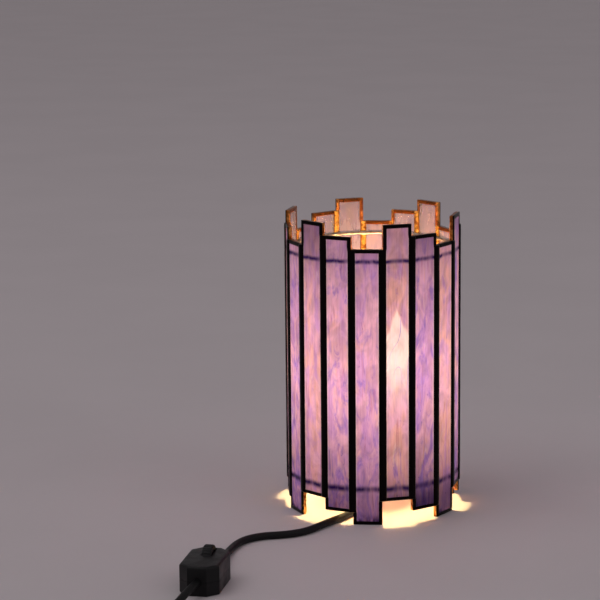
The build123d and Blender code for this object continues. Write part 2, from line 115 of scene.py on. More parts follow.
# ---- the dimmer and the plug
DIMMER_CENTRE = Vector((-113.0, -238.8, 0)) * MM
DIMMER_TURN = math.radians(-6.3)
DIMMER_LENGTH = 52 * MM
DIMMER_WIDTH = 31 * MM
DIMMER_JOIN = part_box("dimmer_upper_shell")[0].z
DIMMER_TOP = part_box("dimmer_upper_shell")[1].z
WHEEL_PLACE = 13 * MM
WHEEL_RADIUS = 10.5 * MM
WHEEL_WIDTH = 8 * MM
WHEEL_AXLE = 18.2 * MM
WHEEL_GAP = 0.5 * MM
WHEEL_SHOWN = 0.93  # the slot's half length, in wheel radii
WHEEL_SLOT_DEPTH = 9 * MM
WHEEL_GROOVES = 28
GROOVE_DEPTH = 0.035
PLUG_TURN = math.radians(36.4)
PLUG_LENGTH = 36 * MM
PLUG_HEIGHT = 12.6 * MM
PLUG_HALF_WIDTHS = (4.6, 17.4)
NECK_END = 7
SHOULDER_LENGTH = 13
PIN_RADIUS = 1.95
PIN_SPACING = 18.6 * MM
RELIEF_LENGTH = 21.0

# ---- the lampholder and the bulb
ARMS = 3
ARM_WIDTH = 8 * MM
NUT_FLATS = 14 * MM
HOLDER_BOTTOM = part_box("lampholder_cap")[0].z
HOLDER_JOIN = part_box("lampholder_shell")[0].z
HOLDER_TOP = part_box("lampholder_shell")[1].z
CAP_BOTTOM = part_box("bulb_screw_cap")[0].z
THREAD_PITCH = 2.822 * MM
BULB_WALL = 0.8
FILAMENT_LOW, FILAMENT_HIGH = 98 * MM, 134 * MM
FILAMENTS = 4
FILAMENT_RADII = (4.2 * MM, 5.2 * MM)
LIGHT_SHARES = (0.27, 0.75)  # how far up each filament its two lights are
LIGHT_RADIUS = 2.2 * MM

# ---- where the camera stands
CAMERA_PLACE = (0.1249, -1.9794, 0.5789)
CAMERA_HEADING = math.radians(5.366)
CAMERA_DIP = math.radians(11.518)
CAMERA_ROLL = math.radians(-0.558)
CAMERA_LENS = 144.86
CAMERA_SENSOR = 36


# ======================================================================== settings
class LanternSettings(bpy.types.PropertyGroup):
    pink: FloatVectorProperty(
        name="Pink", description="Pink clouds in the glass", subtype="COLOR", default=(0.84, 0.41, 0.48))
    mauve: FloatVectorProperty(
        name="Mauve", description="Ground colour of the glass", subtype="COLOR", default=(0.66, 0.31, 0.50))
    peach: FloatVectorProperty(
        name="Peach", description="Warm streaks in the glass", subtype="COLOR", default=(0.94, 0.44, 0.31))
    cream: FloatVectorProperty(
        name="Cream", description="Palest patches of the glass", subtype="COLOR", default=(1.0, 0.70, 0.56))
    violet: FloatVectorProperty(
        name="Violet", description="Blue-violet wisps in the glass", subtype="COLOR",
        default=(0.33, 0.16, 0.50))
    rust: FloatVectorProperty(
        name="Rust", description="Fine red-brown threads in the glass", subtype="COLOR",
        default=(0.50, 0.13, 0.17))
    dusk: FloatVectorProperty(
        name="Dusk", description="Dark upper ends of some strips", subtype="COLOR",
        default=(0.06, 0.03, 0.10))
    depths: FloatVectorProperty(
        name="Depths", description="Tint of the strips' feet", subtype="COLOR", default=(0.09, 0.035, 0.26))
    film: FloatVectorProperty(
        name="Film", description="Pale inner face of the glass", subtype="COLOR", default=(0.60, 0.66, 1.0))
    milk: FloatVectorProperty(
        name="Milk", description="What the glass gives back of its colour", subtype="COLOR",
        default=(0.42, 0.45, 0.68))
    passed: FloatVectorProperty(
        name="Passed", description="What the glass lets through of its colour", subtype="COLOR",
        default=(0.23, 0.285, 0.62))
    # colour of the hoops' painted shadows on the glass
    shadow: FloatVectorProperty(
        name="Shadow", description="Where a hoop shows through the glass", subtype="COLOR",
        default=(0.030, 0.006, 0.085))
    # painted glow: how strongly the glass itself shines, standing for light scattered within the lantern
    glow: FloatProperty(
        name="Glow", description="Light scattered within the lantern, which fills the glass evenly",
        default=0.56)
    copper: FloatVectorProperty(
        name="Copper", description="Foil inside the lantern", subtype="COLOR", default=(0.92, 0.42, 0.12))
    solder: FloatVectorProperty(
        name="Solder", description="Solder beads inside the lantern", subtype="COLOR",
        default=(1.0, 0.62, 0.14))
    patina: FloatVectorProperty(
        name="Patina", description="Blackened solder outside", subtype="COLOR", default=(0.008, 0.006, 0.006))
    lumps: FloatProperty(
        name="Solder lumps", description="Height of the lumps in the inner beads", unit="LENGTH",
        default=0.55 * MM)
    ripple: FloatProperty(
        name="Solder ripple", description="Unevenness of the outer crowns", unit="LENGTH", default=0.12 * MM)
    hoop_wire: FloatProperty(
        name="Hoop wire", description="Thickness of the hoops' wire", unit="LENGTH", default=2.5 * MM)


class BulbSettings(bpy.types.PropertyGroup):
    power: FloatProperty(
        name="Power", description="Radiant power of the filaments together", unit="POWER", default=1.7)
    warmth: FloatVectorProperty(
        name="Warmth", description="Colour of the filaments' light", subtype="COLOR",
        default=(1.0, 0.79, 0.36))


class CordSettings(bpy.types.PropertyGroup):
    sheath: FloatVectorProperty(
        name="Sheath", description="Colour of the cord's sheath", subtype="COLOR",
        default=(0.004, 0.004, 0.0045))
    plastic: FloatVectorProperty(
        name="Plastic", description="Colour of the dimmer and the plug", subtype="COLOR",
        default=(0.004, 0.004, 0.0045))
    ribs: IntProperty(
        name="Grip ribs", description="Ribs on the plug's strain relief", default=5, min=2, max=9)


class StageSettings(bpy.types.PropertyGroup):
    floor: FloatVectorProperty(
        name="Floor", description="Colour of the floor", subtype="COLOR", default=(0.66, 0.60, 0.62))
    soft_light: FloatProperty(
        name="Soft light", description="Power of the overhead soft light", unit="POWER", default=18.0)
    ambient: FloatProperty(name="Ambient", description="Brightness of the surroundings", default=0.27)


# ======================================================================== mesh helpers
def around(number):
    """The turn from the front strip to another strip, or with a half number to a seam."""
    return Matrix.Rotation(number * STEP, 4, "Z")


def finished(mesh_maker, name, body, material, replaces=(), smooth=True):
    """A bmesh made into a piece that rides on a body and stands for its nodes."""
    bmesh.ops.recalc_face_normals(mesh_maker, faces=mesh_maker.faces)
    mesh = bpy.data.meshes.new(name)
    mesh_maker.to_mesh(mesh)
    mesh_maker.free()
    if smooth:
        mesh.shade_smooth()
        mesh.set_sharp_from_angle(angle=math.radians(35))
    mesh.materials.append(material)
    piece = bpy.data.objects.new(name, mesh)
    bpy.context.scene.collection.objects.link(piece)
    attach(piece, body)
    if replaces:
        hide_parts(*replaces)
    return piece


def coat(node, material):
    """A CAD node's new material."""
    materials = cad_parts[node].data.materials
    materials.clear()
    materials.append(material)


def turned(maker, profile, steps=48, closed=False):
    """Spins an outline of (radius, height) points round Z into its own solid."""
    verts = [maker.verts.new((radius, 0, height)) for radius, height in profile]
    pairs = list(zip(verts, verts[1:]))
    if closed:
        pairs.append((verts[-1], verts[0]))
    edges = [maker.edges.new(pair) for pair in pairs]
    bmesh.ops.spin(
        maker, geom=verts + edges, cent=(0, 0, 0), axis=(0, 0, 1), angle=math.tau, steps=steps,
        use_merge=True)
    bmesh.ops.remove_doubles(maker, verts=maker.verts, dist=1e-6)


def block(maker, low, high):
    """A box between two corners; returns its verts."""
    low, high = Vector(low), Vector(high)
    size = high - low
    place = Matrix.Translation((low + high) / 2) @ Matrix.Diagonal((*size, 1))
    return bmesh.ops.create_cube(maker, size=1, matrix=place)["verts"]


def edges_of(verts):
    """The edges that meet these verts, each once and in a fixed order."""
    return list(dict.fromkeys(edge for vert in verts for edge in vert.link_edges))


def faces_of(verts):
    """The faces that meet these verts, each once and in a fixed order."""
    return list(dict.fromkeys(face for vert in verts for face in vert.link_faces))


def verts_among(geometry):
    return [item for item in geometry if isinstance(item, bmesh.types.BMVert)]


def rounded(maker, edges, width, segments=3):
    return bmesh.ops.bevel(
        maker, geom=edges, offset=width, segments=segments, profile=0.5, affect="EDGES", material=-1)


def sliced(maker, axis, places):
    """Cuts the whole mesh across one axis at each place."""
    normal = Vector([float(index == axis) for index in range(3)])
    for place in places:
        geometry = maker.verts[:] + maker.edges[:] + maker.faces[:]
        bmesh.ops.bisect_plane(maker, geom=geometry, plane_co=normal * place, plane_no=normal)


def spread(low, high, pitch):
    """Evenly spaced places between two ends, without the ends."""
    count = max(2, round((high - low) / pitch))
    return [low + (high - low) * index / count for index in range(1, count)]


def lumpy(place, pitch, seed=0.0):
    """Smooth noise from -1 to 1 whose lumps are about one pitch apart."""
    return noise.noise(Vector(place) / pitch + Vector((seed, seed, seed)))


# ======================================================================== material helpers
class Shading:
    """A material's nodes, added one after another."""

    def __init__(self, name):
        self.material = bpy.data.materials.new(name)
        self.material.use_nodes = True
        self.tree = self.material.node_tree
        self.tree.nodes.clear()
        self.out = self.tree.nodes.new("ShaderNodeOutputMaterial")

    def node(self, kind, **values):
        made = self.tree.nodes.new(kind)
        for name, value in values.items():
            setattr(made, name, value)
        return made

    def link(self, source, target):
        self.tree.links.new(source, target)

    def feed(self, socket, value):
        if isinstance(value, bpy.types.NodeSocket):
            self.link(value, socket)
        elif hasattr(socket.default_value, "__len__") and len(socket.default_value) == 4:
            socket.default_value = (*value[:3], 1)
        else:
            socket.default_value = value

    def math(self, operation, *values):
        made = self.node("ShaderNodeMath", operation=operation)
        for socket, value in zip(made.inputs, values):
            self.feed(socket, value)
        return made.outputs[0]

    def times(self, first, second):
        return self.math("MULTIPLY", first, second)

    def plus(self, first, second):
        return self.math("ADD", first, second)

    def minus(self, first, second):
        return self.math("SUBTRACT", first, second)

    def place(self):
        """The piece's own coordinates, which are the frame's at rest."""
        return self.node("ShaderNodeTexCoord").outputs["Object"]

    def split(self, vector):
        made = self.node("ShaderNodeSeparateXYZ")
        self.link(vector, made.inputs[0])
        return made.outputs

    def joined(self, x, y, z):
        made = self.node("ShaderNodeCombineXYZ")
        for socket, value in zip(made.inputs, (x, y, z)):
            self.feed(socket, value)
        return made.outputs[0]

    def noise(self, vector, scale, detail=2.0, roughness=0.5, distortion=0.0):
        made = self.node("ShaderNodeTexNoise")
        self.link(vector, made.inputs["Vector"])
        for name, value in (
            ("Scale", scale), ("Detail", detail), ("Roughness", roughness), ("Distortion", distortion),
        ):
            made.inputs[name].default_value = value
        return made.outputs[0]

    def fade(self, value, low, high, bottom=0.0, top=1.0):
        """A smooth rise from bottom to top as the value goes from low to high."""
        made = self.node("ShaderNodeMapRange", interpolation_type="SMOOTHSTEP")
        self.feed(made.inputs["Value"], value)
        for name, number in (("From Min", low), ("From Max", high), ("To Min", bottom), ("To Max", top)):
            made.inputs[name].default_value = number
        return made.outputs[0]

    def mix(self, share, first, second, blend="MIX"):
        made = self.node("ShaderNodeMix", data_type="RGBA", blend_type=blend)
        self.feed(made.inputs["Factor"], share)
        self.feed(made.inputs[6], first)
        self.feed(made.inputs[7], second)
        return made.outputs[2]

    def bump(self, height, distance, strength=1.0):
        made = self.node("ShaderNodeBump")
        self.link(height, made.inputs["Height"])
        made.inputs["Distance"].default_value = distance
        made.inputs["Strength"].default_value = strength
        return made.outputs[0]

    def principled(self, **values):
        made = self.node("ShaderNodeBsdfPrincipled")
        for name, value in values.items():
            self.feed(made.inputs[name.replace("_", " ")], value)
        return made

    def mixed(self, share, first, second):
        made = self.node("ShaderNodeMixShader")
        self.feed(made.inputs[0], share)
        self.link(first, made.inputs[1])
        self.link(second, made.inputs[2])
        return made.outputs[0]

    def added(self, first, second):
        made = self.node("ShaderNodeAddShader")
        self.link(first, made.inputs[0])
        self.link(second, made.inputs[1])
        return made.outputs[0]

    def finish(self, shader):
        self.link(shader, self.out.inputs["Surface"])
        return self.material


def strip_places(shading):
    """Where a point lies on its strip: across it, out along its normal, up, and the strip's number."""
    x, y, z = shading.split(shading.place())
    angle = shading.math("ARCTAN2", x, shading.times(y, -1.0))
    number = shading.math("ROUND", shading.math("DIVIDE", angle, STEP))
    turn = shading.times(number, STEP)
    sine, cosine = shading.math("SINE", turn), shading.math("COSINE", turn)
    across = shading.plus(shading.times(x, cosine), shading.times(y, sine))
    out = shading.minus(shading.times(x, sine), shading.times(y, cosine))
    return across, out, z, shading.math("FLOORED_MODULO", number, float(STRIPS))


def streak_place(shading, across, height, number, width, length):
    """Coordinates in which glass streaks of one width and length are round, different on each strip."""
    return shading.joined(
        shading.plus(shading.math("DIVIDE", across, width), shading.times(number, 7.31)),
        shading.times(number, 3.17),
        shading.math("DIVIDE", height, length),
    )


def opalescent_glass(settings):
    """Streaky glass: milky at its outer face and clearer at its inner face, so that the bulb lights it; with
    a painted glow, painted hoop shadows, a painted bright spot and painted light along each strip's sides.
    """
    shading = Shading("opalescent_glass")
    across, out, height, number = strip_places(shading)
    side = shading.math("ABSOLUTE", across)

    def streaks(width, length, detail=3.0, roughness=0.55, distortion=0.4):
        place = streak_place(shading, across, height, number, width * MM, length * MM)
        return shading.noise(place, 1.0, detail, roughness, distortion)

    low_end = shading.fade(height, *LOW_END)
    high_end = shading.fade(height, *HIGH_END)
    warm_strip = shading.times(strip_tone(shading, number, 3, 2.85), 0.078)
    deep_strip = strip_tone(shading, number, 2, 1.15)
    dusky_strip = strip_tone(shading, number, 2, 2.244)
    clouds = shading.fade(streaks(15, 46, 2, 0.5, 0.8), 0.40, 0.60)
    colour = shading.mix(clouds, settings.mauve, settings.pink)
    peach = shading.plus(streaks(10, 34, 3, 0.55, 1.0), warm_strip)
    colour = shading.mix(shading.fade(peach, 0.47, 0.71, 0, 0.78), colour, settings.peach)
    palest = shading.fade(streaks(9, 30, 3, 0.6, 0.8), 0.58, 0.78, 0, 0.55)
    colour = shading.mix(palest, colour, settings.cream)
    wisps = shading.plus(streaks(8, 27, 4, 0.60, 1.4), shading.times(low_end, 0.085))
    wisps = shading.minus(wisps, warm_strip)
    colour = shading.mix(shading.fade(wisps, 0.52, 0.78, 0, 0.85), colour, settings.violet)
    threads = shading.plus(streaks(3, 15, 3, 0.6, 1.8), shading.times(low_end, 0.06))
    dark_violet = [c * 0.55 for c in settings.violet]
    colour = shading.mix(shading.fade(threads, 0.66, 0.78, 0, 0.8), colour, dark_violet)
    rust = shading.fade(streaks(2.6, 38, 3, 0.6, 0.9), 0.55, 0.74, 0, 0.55)
    colour = shading.mix(rust, colour, settings.rust)
    colour = shading.mix(shading.times(high_end, 0.45), colour, [c * 0.8 for c in settings.mauve])
    # painted bright spot: paler where the bulb's light shows through one strip
    colour, patch = painted_bright_spot(shading, settings, colour, across, height, number, streaks)
    # painted light: paler along each strip's sides next to the foil, where light leaks past the seams
    pale = shading.fade(side, STRIP_WIDTH / 2 - FOIL_LAP - 1.2 * MM, STRIP_WIDTH / 2 - FOIL_LAP, 0, 0.5)
    colour = shading.mix(pale, colour, settings.cream)
    grain = shading.fade(streaks(1.2, 30, 3, 0.6, 0.3), 0.25, 0.75, 0.90, 1.06)
    cloud = shading.times(grain, shading.fade(streaks(13, 24, 3, 0.6, 0.9), 0.30, 0.66, 0.80, 1.10))
    depth = shading.math("MULTIPLY_ADD", shading.times(deep_strip, low_end), -0.25, 1.0)
    cloud = shading.times(cloud, depth)
    colour = shading.mix(1.0, colour, shading.joined(cloud, cloud, cloud), "MULTIPLY")
    dusk = shading.times(high_end, shading.math("MULTIPLY_ADD", dusky_strip, 0.33, 0.13))
    colour = shading.mix(dusk, colour, settings.dusk)
    # darker in patches near the bottom of the glass
    low_band = shading.times(shading.fade(height, *LOW_BAND), shading.fade(streaks(6, 12, 3), 0.35, 0.6))
    foot = shading.math("MULTIPLY_ADD", deep_strip, 0.56, 0.31)
    foot = shading.math("MAXIMUM", shading.times(foot, shading.fade(height, *FOOT)), low_band)
    colour = shading.mix(foot, colour, settings.depths, "MULTIPLY")
    # painted shadows of the two hoops across the glass
    hoop = painted_hoop_shadows(shading, height, streaks)
    colour = shading.mix(hoop, colour, settings.shadow)

    # painted glow: the glass shines in its own colour, most at mid height and less towards both ends, a
    # little more in the painted bright spot, and only on the side that faces out
    painted_glow_by_height = shading.times(shading.fade(height, *PAINTED_GLOW_FROM_BELOW), shading.fade(height, *PAINTED_GLOW_FROM_ABOVE))
    glow = shading.times(painted_glow_by_height, settings.glow)
    glow = shading.times(glow, shading.plus(shading.times(patch, 0.20), 1.0))
    turned_away = shading.node("ShaderNodeNewGeometry").outputs["Backfacing"]
    glow = shading.times(glow, shading.minus(1.0, turned_away))
    scattered = shading.node("ShaderNodeEmission")
    shading.link(colour, scattered.inputs["Color"])
    shading.link(glow, scattered.inputs["Strength"])
    through = shading.node("ShaderNodeBsdfTranslucent")
    shading.link(shading.mix(1.0, colour, settings.passed, "MULTIPLY"), through.inputs["Color"])
    milk = shading.node("ShaderNodeBsdfDiffuse")
    shading.link(shading.mix(1.0, colour, settings.milk, "MULTIPLY"), milk.inputs["Color"])
    body = shading.added(shading.mixed(0.5, milk.outputs[0], through.outputs[0]), scattered.outputs[0])
    clear = shading.node("ShaderNodeBsdfTransparent")
    film = shading.node("ShaderNodeBsdfDiffuse")
    shading.link(shading.mix(0.5, colour, settings.film), film.inputs["Color"])
    inside = shading.fade(out, INNER_FACE + 1.2 * MM, INNER_FACE + 0.8 * MM)
    body = shading.mixed(inside, body, shading.mixed(0.38, clear.outputs[0], film.outputs[0]))
    waves = shading.bump(streaks(9, 30, 2), 0.25 * MM, 0.5)
    return shading.finish(glossed(shading, body, 0.10, 0.04, 0.45, waves))


def strip_tone(shading, number, fullest, step):
    """A tone from -1 to 1 that changes from strip to strip, and is fullest at one of them."""
    return shading.math("COSINE", shading.times(shading.minus(number, fullest), step))


def painted_bright_spot(shading, settings, colour, across, height, number, streaks):
    """A painted bright spot: the pale pointed patch in one strip where the bulb's light shows through, veined
    with violet: returns the colour and the patch.
    """
    sway = shading.times(shading.minus(streaks(9, 26, 2), 0.5), 9 * MM)
    side = shading.math("ABSOLUTE", shading.plus(across, sway))
    slope = shading.times(shading.minus(PAINTED_SPOT_TIP, height), PAINTED_SPOT_FLARE)
    wedge = shading.fade(shading.minus(slope, side), -0.4 * MM, 2.6 * MM)
    patch = shading.times(wedge, shading.fade(height, *PAINTED_SPOT_FOOT))
    patch = shading.times(patch, shading.math("COMPARE", number, PAINTED_SPOT_STRIP, 0.5))
    colour = shading.mix(shading.times(patch, 0.80), colour, settings.cream)
    vein = shading.math("ABSOLUTE", shading.minus(streaks(17, 60, 0, 0.5, 1.7), 0.5))
    veins = shading.times(shading.fade(vein, 0.020, 0.0, 0, 0.80), patch)
    return shading.mix(veins, colour, settings.violet), patch


def painted_hoop_shadows(shading, height, streaks):
    """Painted shadows where the two hoops darken the glass that they lie behind, unevenly, as their solder
    does.
    """
    wander = shading.times(shading.minus(streaks(9, 900, 2), 0.5), 3.0 * MM)
    level = shading.plus(height, wander)
    strength = shading.fade(streaks(7, 900, 2, 0.6), 0.30, 0.58, 0.62, 1.0)
    both = 0.0
    for node, spread_out in zip(HOOPS, HOOP_SHADOWS):
        low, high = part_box(node)
        away = shading.math("ABSOLUTE", shading.minus(level, (low.z + high.z) / 2))
        both = shading.math("MAXIMUM", shading.fade(away, spread_out, 0.2 * MM), both)
    return shading.times(both, strength)


def glossed(shading, body, roughness, straight_on, at_edge, normal=None):
    """A gloss over a body: weak where it is seen straight on, and stronger towards its edges."""
    gloss = shading.node("ShaderNodeBsdfGlossy")
    gloss.inputs["Roughness"].default_value = roughness
    if normal:
        shading.link(normal, gloss.inputs["Normal"])
    edge = shading.node("ShaderNodeLayerWeight")
    edge.inputs["Blend"].default_value = 0.5
    rise = shading.math("POWER", edge.outputs["Facing"], 4.0)
    share = shading.plus(shading.times(rise, at_edge), straight_on)
    return shading.mixed(share, body, gloss.outputs[0])


def soldered_metal(name, settings, warm):
    """Foil or solder: blackened on the outer face, and its own warm metal on the edges and inside."""
    shading = Shading(name)
    across, out = strip_places(shading)[:2]
    patches = shading.noise(shading.place(), 160, 3, 0.6)
    edge = shading.plus(out, shading.times(patches, 0.8 * MM))
    black = shading.fade(edge, OUTER_FACE - 0.95 * MM, OUTER_FACE - 0.45 * MM)
    stain = shading.noise(shading.place(), 190, 2, 0.5)
    side = shading.math("ABSOLUTE", across)
    # darker brown along the foil's inner edge, beside the glass
    lap_edge_band = shading.fade(side, STRIP_WIDTH / 2 - FOIL_LAP + 0.7 * MM, STRIP_WIDTH / 2 - FOIL_LAP, 0, 0.9)
    hollows = shading.math("MAXIMUM", shading.fade(stain, 0.42, 0.64, 0, 0.9), lap_edge_band)
    colour = shading.mix(hollows, warm, (0.24, 0.055, 0.010))
    colour = shading.mix(black, colour, settings.patina)
    rough = shading.fade(stain, 0.3, 0.7, 0.26, 0.42)
    bump = shading.bump(shading.noise(shading.place(), 420, 2, 0.5), 0.16 * MM, 0.6)
    metal = shading.principled(Base_Color=colour, Metallic=1.0, Roughness=rough, Normal=bump)
    return shading.finish(metal.outputs[0])


def worn(name, colour, stained, scale, stain, rough, grain, **finish):
    """A surface with stains that change its colour and roughness, and a grain of (scale, depth, strength)."""
    shading = Shading(name)
    place = shading.place()
    marks = shading.noise(place, scale, 4, 0.6)
    base = shading.mix(shading.fade(marks, *stain), colour, stained)
    grain_scale, depth, strength = grain
    bump = shading.bump(shading.noise(place, grain_scale, 2), depth * MM, strength)
    body = shading.principled(Base_Color=base, Roughness=shading.fade(marks, *rough), Normal=bump, **finish)
    return shading.finish(body.outputs[0])


def plain_metal(name, colour, roughness, patch=0.25, scale=300.0):
    """Metal with darker and duller patches."""
    dark = [c * (1 - patch) for c in colour]
    rough = (0.30, 0.70, roughness, roughness + 0.15)
    return worn(name, colour, dark, scale, (0.35, 0.70), rough, (scale * 3, 0.05, 0.40), Metallic=1.0)


def moulded_plastic(name, colour, roughness=0.38, grain=1400.0, shine=0.5):
    """Moulded plastic with a fine spark-eroded grain and slight handling marks."""
    pale = [c * 1.6 for c in colour]
    rough = (0.30, 0.75, roughness - 0.05, roughness + 0.12)
    return worn(name, colour, pale, 90, (0.40, 0.75), rough, (grain, 0.06, 0.35), Specular_IOR_Level=shine)


def cord_sheath(settings):
    """A smooth rubber sheath with pale scuffs."""
    scuffed = [c * 2.5 for c in settings.sheath]
    return worn(
        "cord_sheath", settings.sheath, scuffed, 260, (0.45, 0.80), (0.30, 0.70, 0.42, 0.58),
        (900, 0.08, 0.35), Specular_IOR_Level=0.22)


def clear_bulb_glass():
    shading = Shading("clear_bulb_glass")
    clear = shading.node("ShaderNodeBsdfTransparent")
    clear.inputs["Color"].default_value = (0.99, 0.975, 0.95, 1)
    return shading.finish(glossed(shading, clear.outputs[0], 0.04, 0.04, 0.6))


def glowing_filament(settings):
    shading = Shading("glowing_filament")
    beads = shading.noise(shading.place(), 900, 2)
    glow = shading.node("ShaderNodeEmission")
    glow.inputs["Color"].default_value = (*settings.warmth, 1)
    shading.link(shading.fade(beads, 0.3, 0.7, 22, 34), glow.inputs["Strength"])
    made = shading.finish(glow.outputs[0])
    made.cycles.emission_sampling = "NONE"
    return made


# ======================================================================== the stage
class GLASSLAMP_OT_camera(bpy.types.Operator):
    """Stand the camera in front of the lamp, a little above it"""

    bl_idname = "glasslamp.camera"
    bl_label = "Camera"

    def execute(self, context):
        data = bpy.data.cameras.new("camera")
        data.lens = CAMERA_LENS
        data.sensor_width = CAMERA_SENSOR
        camera = bpy.data.objects.new("camera", data)
        context.scene.collection.objects.link(camera)
        turn = Matrix.Rotation(CAMERA_HEADING, 4, "Z") @ Matrix.Rotation(math.pi / 2 - CAMERA_DIP, 4, "X")
        camera.matrix_world = Matrix.Translation(CAMERA_PLACE) @ turn @ Matrix.Rotation(CAMERA_ROLL, 4, "Z")
        context.scene.camera = camera
        return {"FINISHED"}


class GLASSLAMP_OT_stage(bpy.types.Operator):
    """Lay a plain floor and hang the soft lights over it"""

    bl_idname = "glasslamp.stage"
    bl_label = "Floor and lights"

    def execute(self, context):
        settings = context.scene.glass_lamp_stage
        maker = bmesh.new()
        bmesh.ops.create_grid(maker, x_segments=2, y_segments=2, size=15)
        mesh = bpy.data.meshes.new("floor")
        maker.to_mesh(mesh)
        maker.free()
        shading = Shading("floor_paint")
        tone = shading.noise(shading.place(), 6, 3)
        base = shading.mix(shading.fade(tone, 0.3, 0.7), settings.floor, [c * 0.97 for c in settings.floor])
        mesh.materials.append(shading.finish(shading.principled(Base_Color=base, Roughness=0.62).outputs[0]))
        floor = bpy.data.objects.new("floor", mesh)
        context.scene.collection.objects.link(floor)
        self.soft_light(context, "overhead", (-1.6, -0.9, 3.2), 2.6, settings.soft_light)
        self.soft_light(context, "fill", (2.4, -1.4, 1.6), 1.8, settings.soft_light * 0.25)
        world = bpy.data.worlds.new("studio")
        world.use_nodes = True
        background = world.node_tree.nodes["Background"]
        background.inputs["Color"].default_value = (1.0, 0.94, 0.97, 1)
        background.inputs["Strength"].default_value = settings.ambient
        context.scene.world = world
        context.scene.view_settings.view_transform = "Standard"
        return {"FINISHED"}

    @staticmethod
    def soft_light(context, name, place, size, power):
        data = bpy.data.lights.new(name, "AREA")
        data.size = size
        data.energy = power
        data.color = (1.0, 0.97, 0.98)
        light = bpy.data.objects.new(name, data)
        light.location = place
        light.rotation_mode = "QUATERNION"
        light.rotation_quaternion = (Vector((0, 0, 0.1)) - Vector(place)).to_track_quat("-Z", "Y")
        context.scene.collection.objects.link(light)


# ======================================================================== the cord
def nurbs_cord(name, points, material):
    curve = bpy.data.curves.new(name, "CURVE")
    curve.dimensions = "3D"
    curve.bevel_depth = CORD_RADIUS
    curve.bevel_resolution = 5
    curve.use_fill_caps = True
    curve.resolution_u = 10
    spline = curve.splines.new("NURBS")
    spline.points.add(len(points) - 1)
    for point, place in zip(spline.points, points):
        point.co = (*place, 1)
    spline.order_u = 3
    spline.use_endpoint_u = True
    curve.materials.append(material)
    cord = bpy.data.objects.new(name, curve)
    bpy.context.scene.collection.objects.link(cord)
    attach(cord, "lamp")
    return cord


def coil_points():
    """The coil's turns, wound inwards on the table and back outwards on top."""
    points = []
    count = len(COIL_TURNS) * TURN_POINTS + 3
    for index in range(count):
        turn = index / TURN_POINTS
        now = COIL_TURNS[min(int(turn), len(COIL_TURNS) - 1)]
        later = COIL_TURNS[min(int(turn) + 1, len(COIL_TURNS) - 1)]
        share = max(0.0, (turn - int(turn) - 1 + COIL_CHANGE) / COIL_CHANGE)
        radius, height = (a + (b - a) * share for a, b in zip(now, later))
        wobble = COIL_WOBBLE * math.sin(index * 1.7)
        angle = COIL_START + math.tau * turn
        around_coil = Vector((math.cos(angle), math.sin(angle), 0)) * (radius + wobble)
        points.append(COIL_CENTRE + (around_coil + Vector((0, 0, height))) * MM)
    return points


class GLASSLAMP_OT_cords(bpy.types.Operator):
    """Run the cord from the lampholder to the dimmer, and from there by way of its coil to the plug"""

    bl_idname = "glasslamp.cords"
    bl_label = "Cords"

    def execute(self, context):
        sheath = cord_sheath(context.scene.glass_lamp_cord)
        lamp_side = nurbs_cord("lamp_cord", [Vector(p) * MM for p in CORD_ROUTE], sheath)
        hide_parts("cord_lamp_side")
        mains = [Vector(p) * MM for p in MAINS_ROUTE] + coil_points() + [Vector(p) * MM for p in PLUG_ROUTE]
        mains_side = nurbs_cord("mains_cord", mains, sheath)
        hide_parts("cord_mains_side", "cord_coil")
        return {"FINISHED"}


class GLASSLAMP_OT_coil_tie(bpy.types.Operator):
    """Wrap a strap round the coiled cord"""

    bl_idname = "glasslamp.coil_tie"
    bl_label = "Coil tie"

    def execute(self, context):
        maker = bmesh.new()
        radii = [radius for radius, _ in COIL_TURNS]
        inner, outer = (min(radii) - 3.2) * MM, (max(radii) + 3.2) * MM
        strap = block(
            maker, (inner - 0.9 * MM, -TIE_WIDTH / 2, 0.2 * MM), (outer + 0.9 * MM, TIE_WIDTH / 2, TIE_TOP))
        ends = [face for face in faces_of(strap) if abs(face.normal.y) > 0.9]
        loops = [edge for face in ends for edge in face.edges]
        rounded(maker, [e for e in edges_of(strap) if e not in loops], 3.2 * MM, 4)
        ends = [face for face in maker.faces if abs(face.normal.y) > 0.9]
        bmesh.ops.inset_individual(maker, faces=ends, thickness=TIE_WALL, use_even_offset=True)
        hollow = [edge for face in ends for edge in face.edges]
        bmesh.ops.delete(maker, geom=ends, context="FACES_ONLY")
        bmesh.ops.bridge_loops(maker, edges=hollow)
        place = Matrix.Translation(COIL_CENTRE) @ Matrix.Rotation(TIE_TURN, 4, "Z")
        bmesh.ops.transform(maker, matrix=place, verts=maker.verts)
        tie = moulded_plastic("tie_webbing", (0.02, 0.02, 0.022), 0.6, 700)
        finished(maker, "coil_tie", "lamp", tie)
        return {"FINISHED"}


# ======================================================================== the lantern
class GLASSLAMP_OT_glass(bpy.types.Operator):
    """Give each strip its streaky glass"""

    bl_idname = "glasslamp.glass"
    bl_label = "Glass strips"

    def execute(self, context):
        glass = opalescent_glass(context.scene.glass_lamp_lantern)
        for number in range(STRIPS):
            coat(f"glass_strip_{number + 1:02d}", glass)
        return {"FINISHED"}


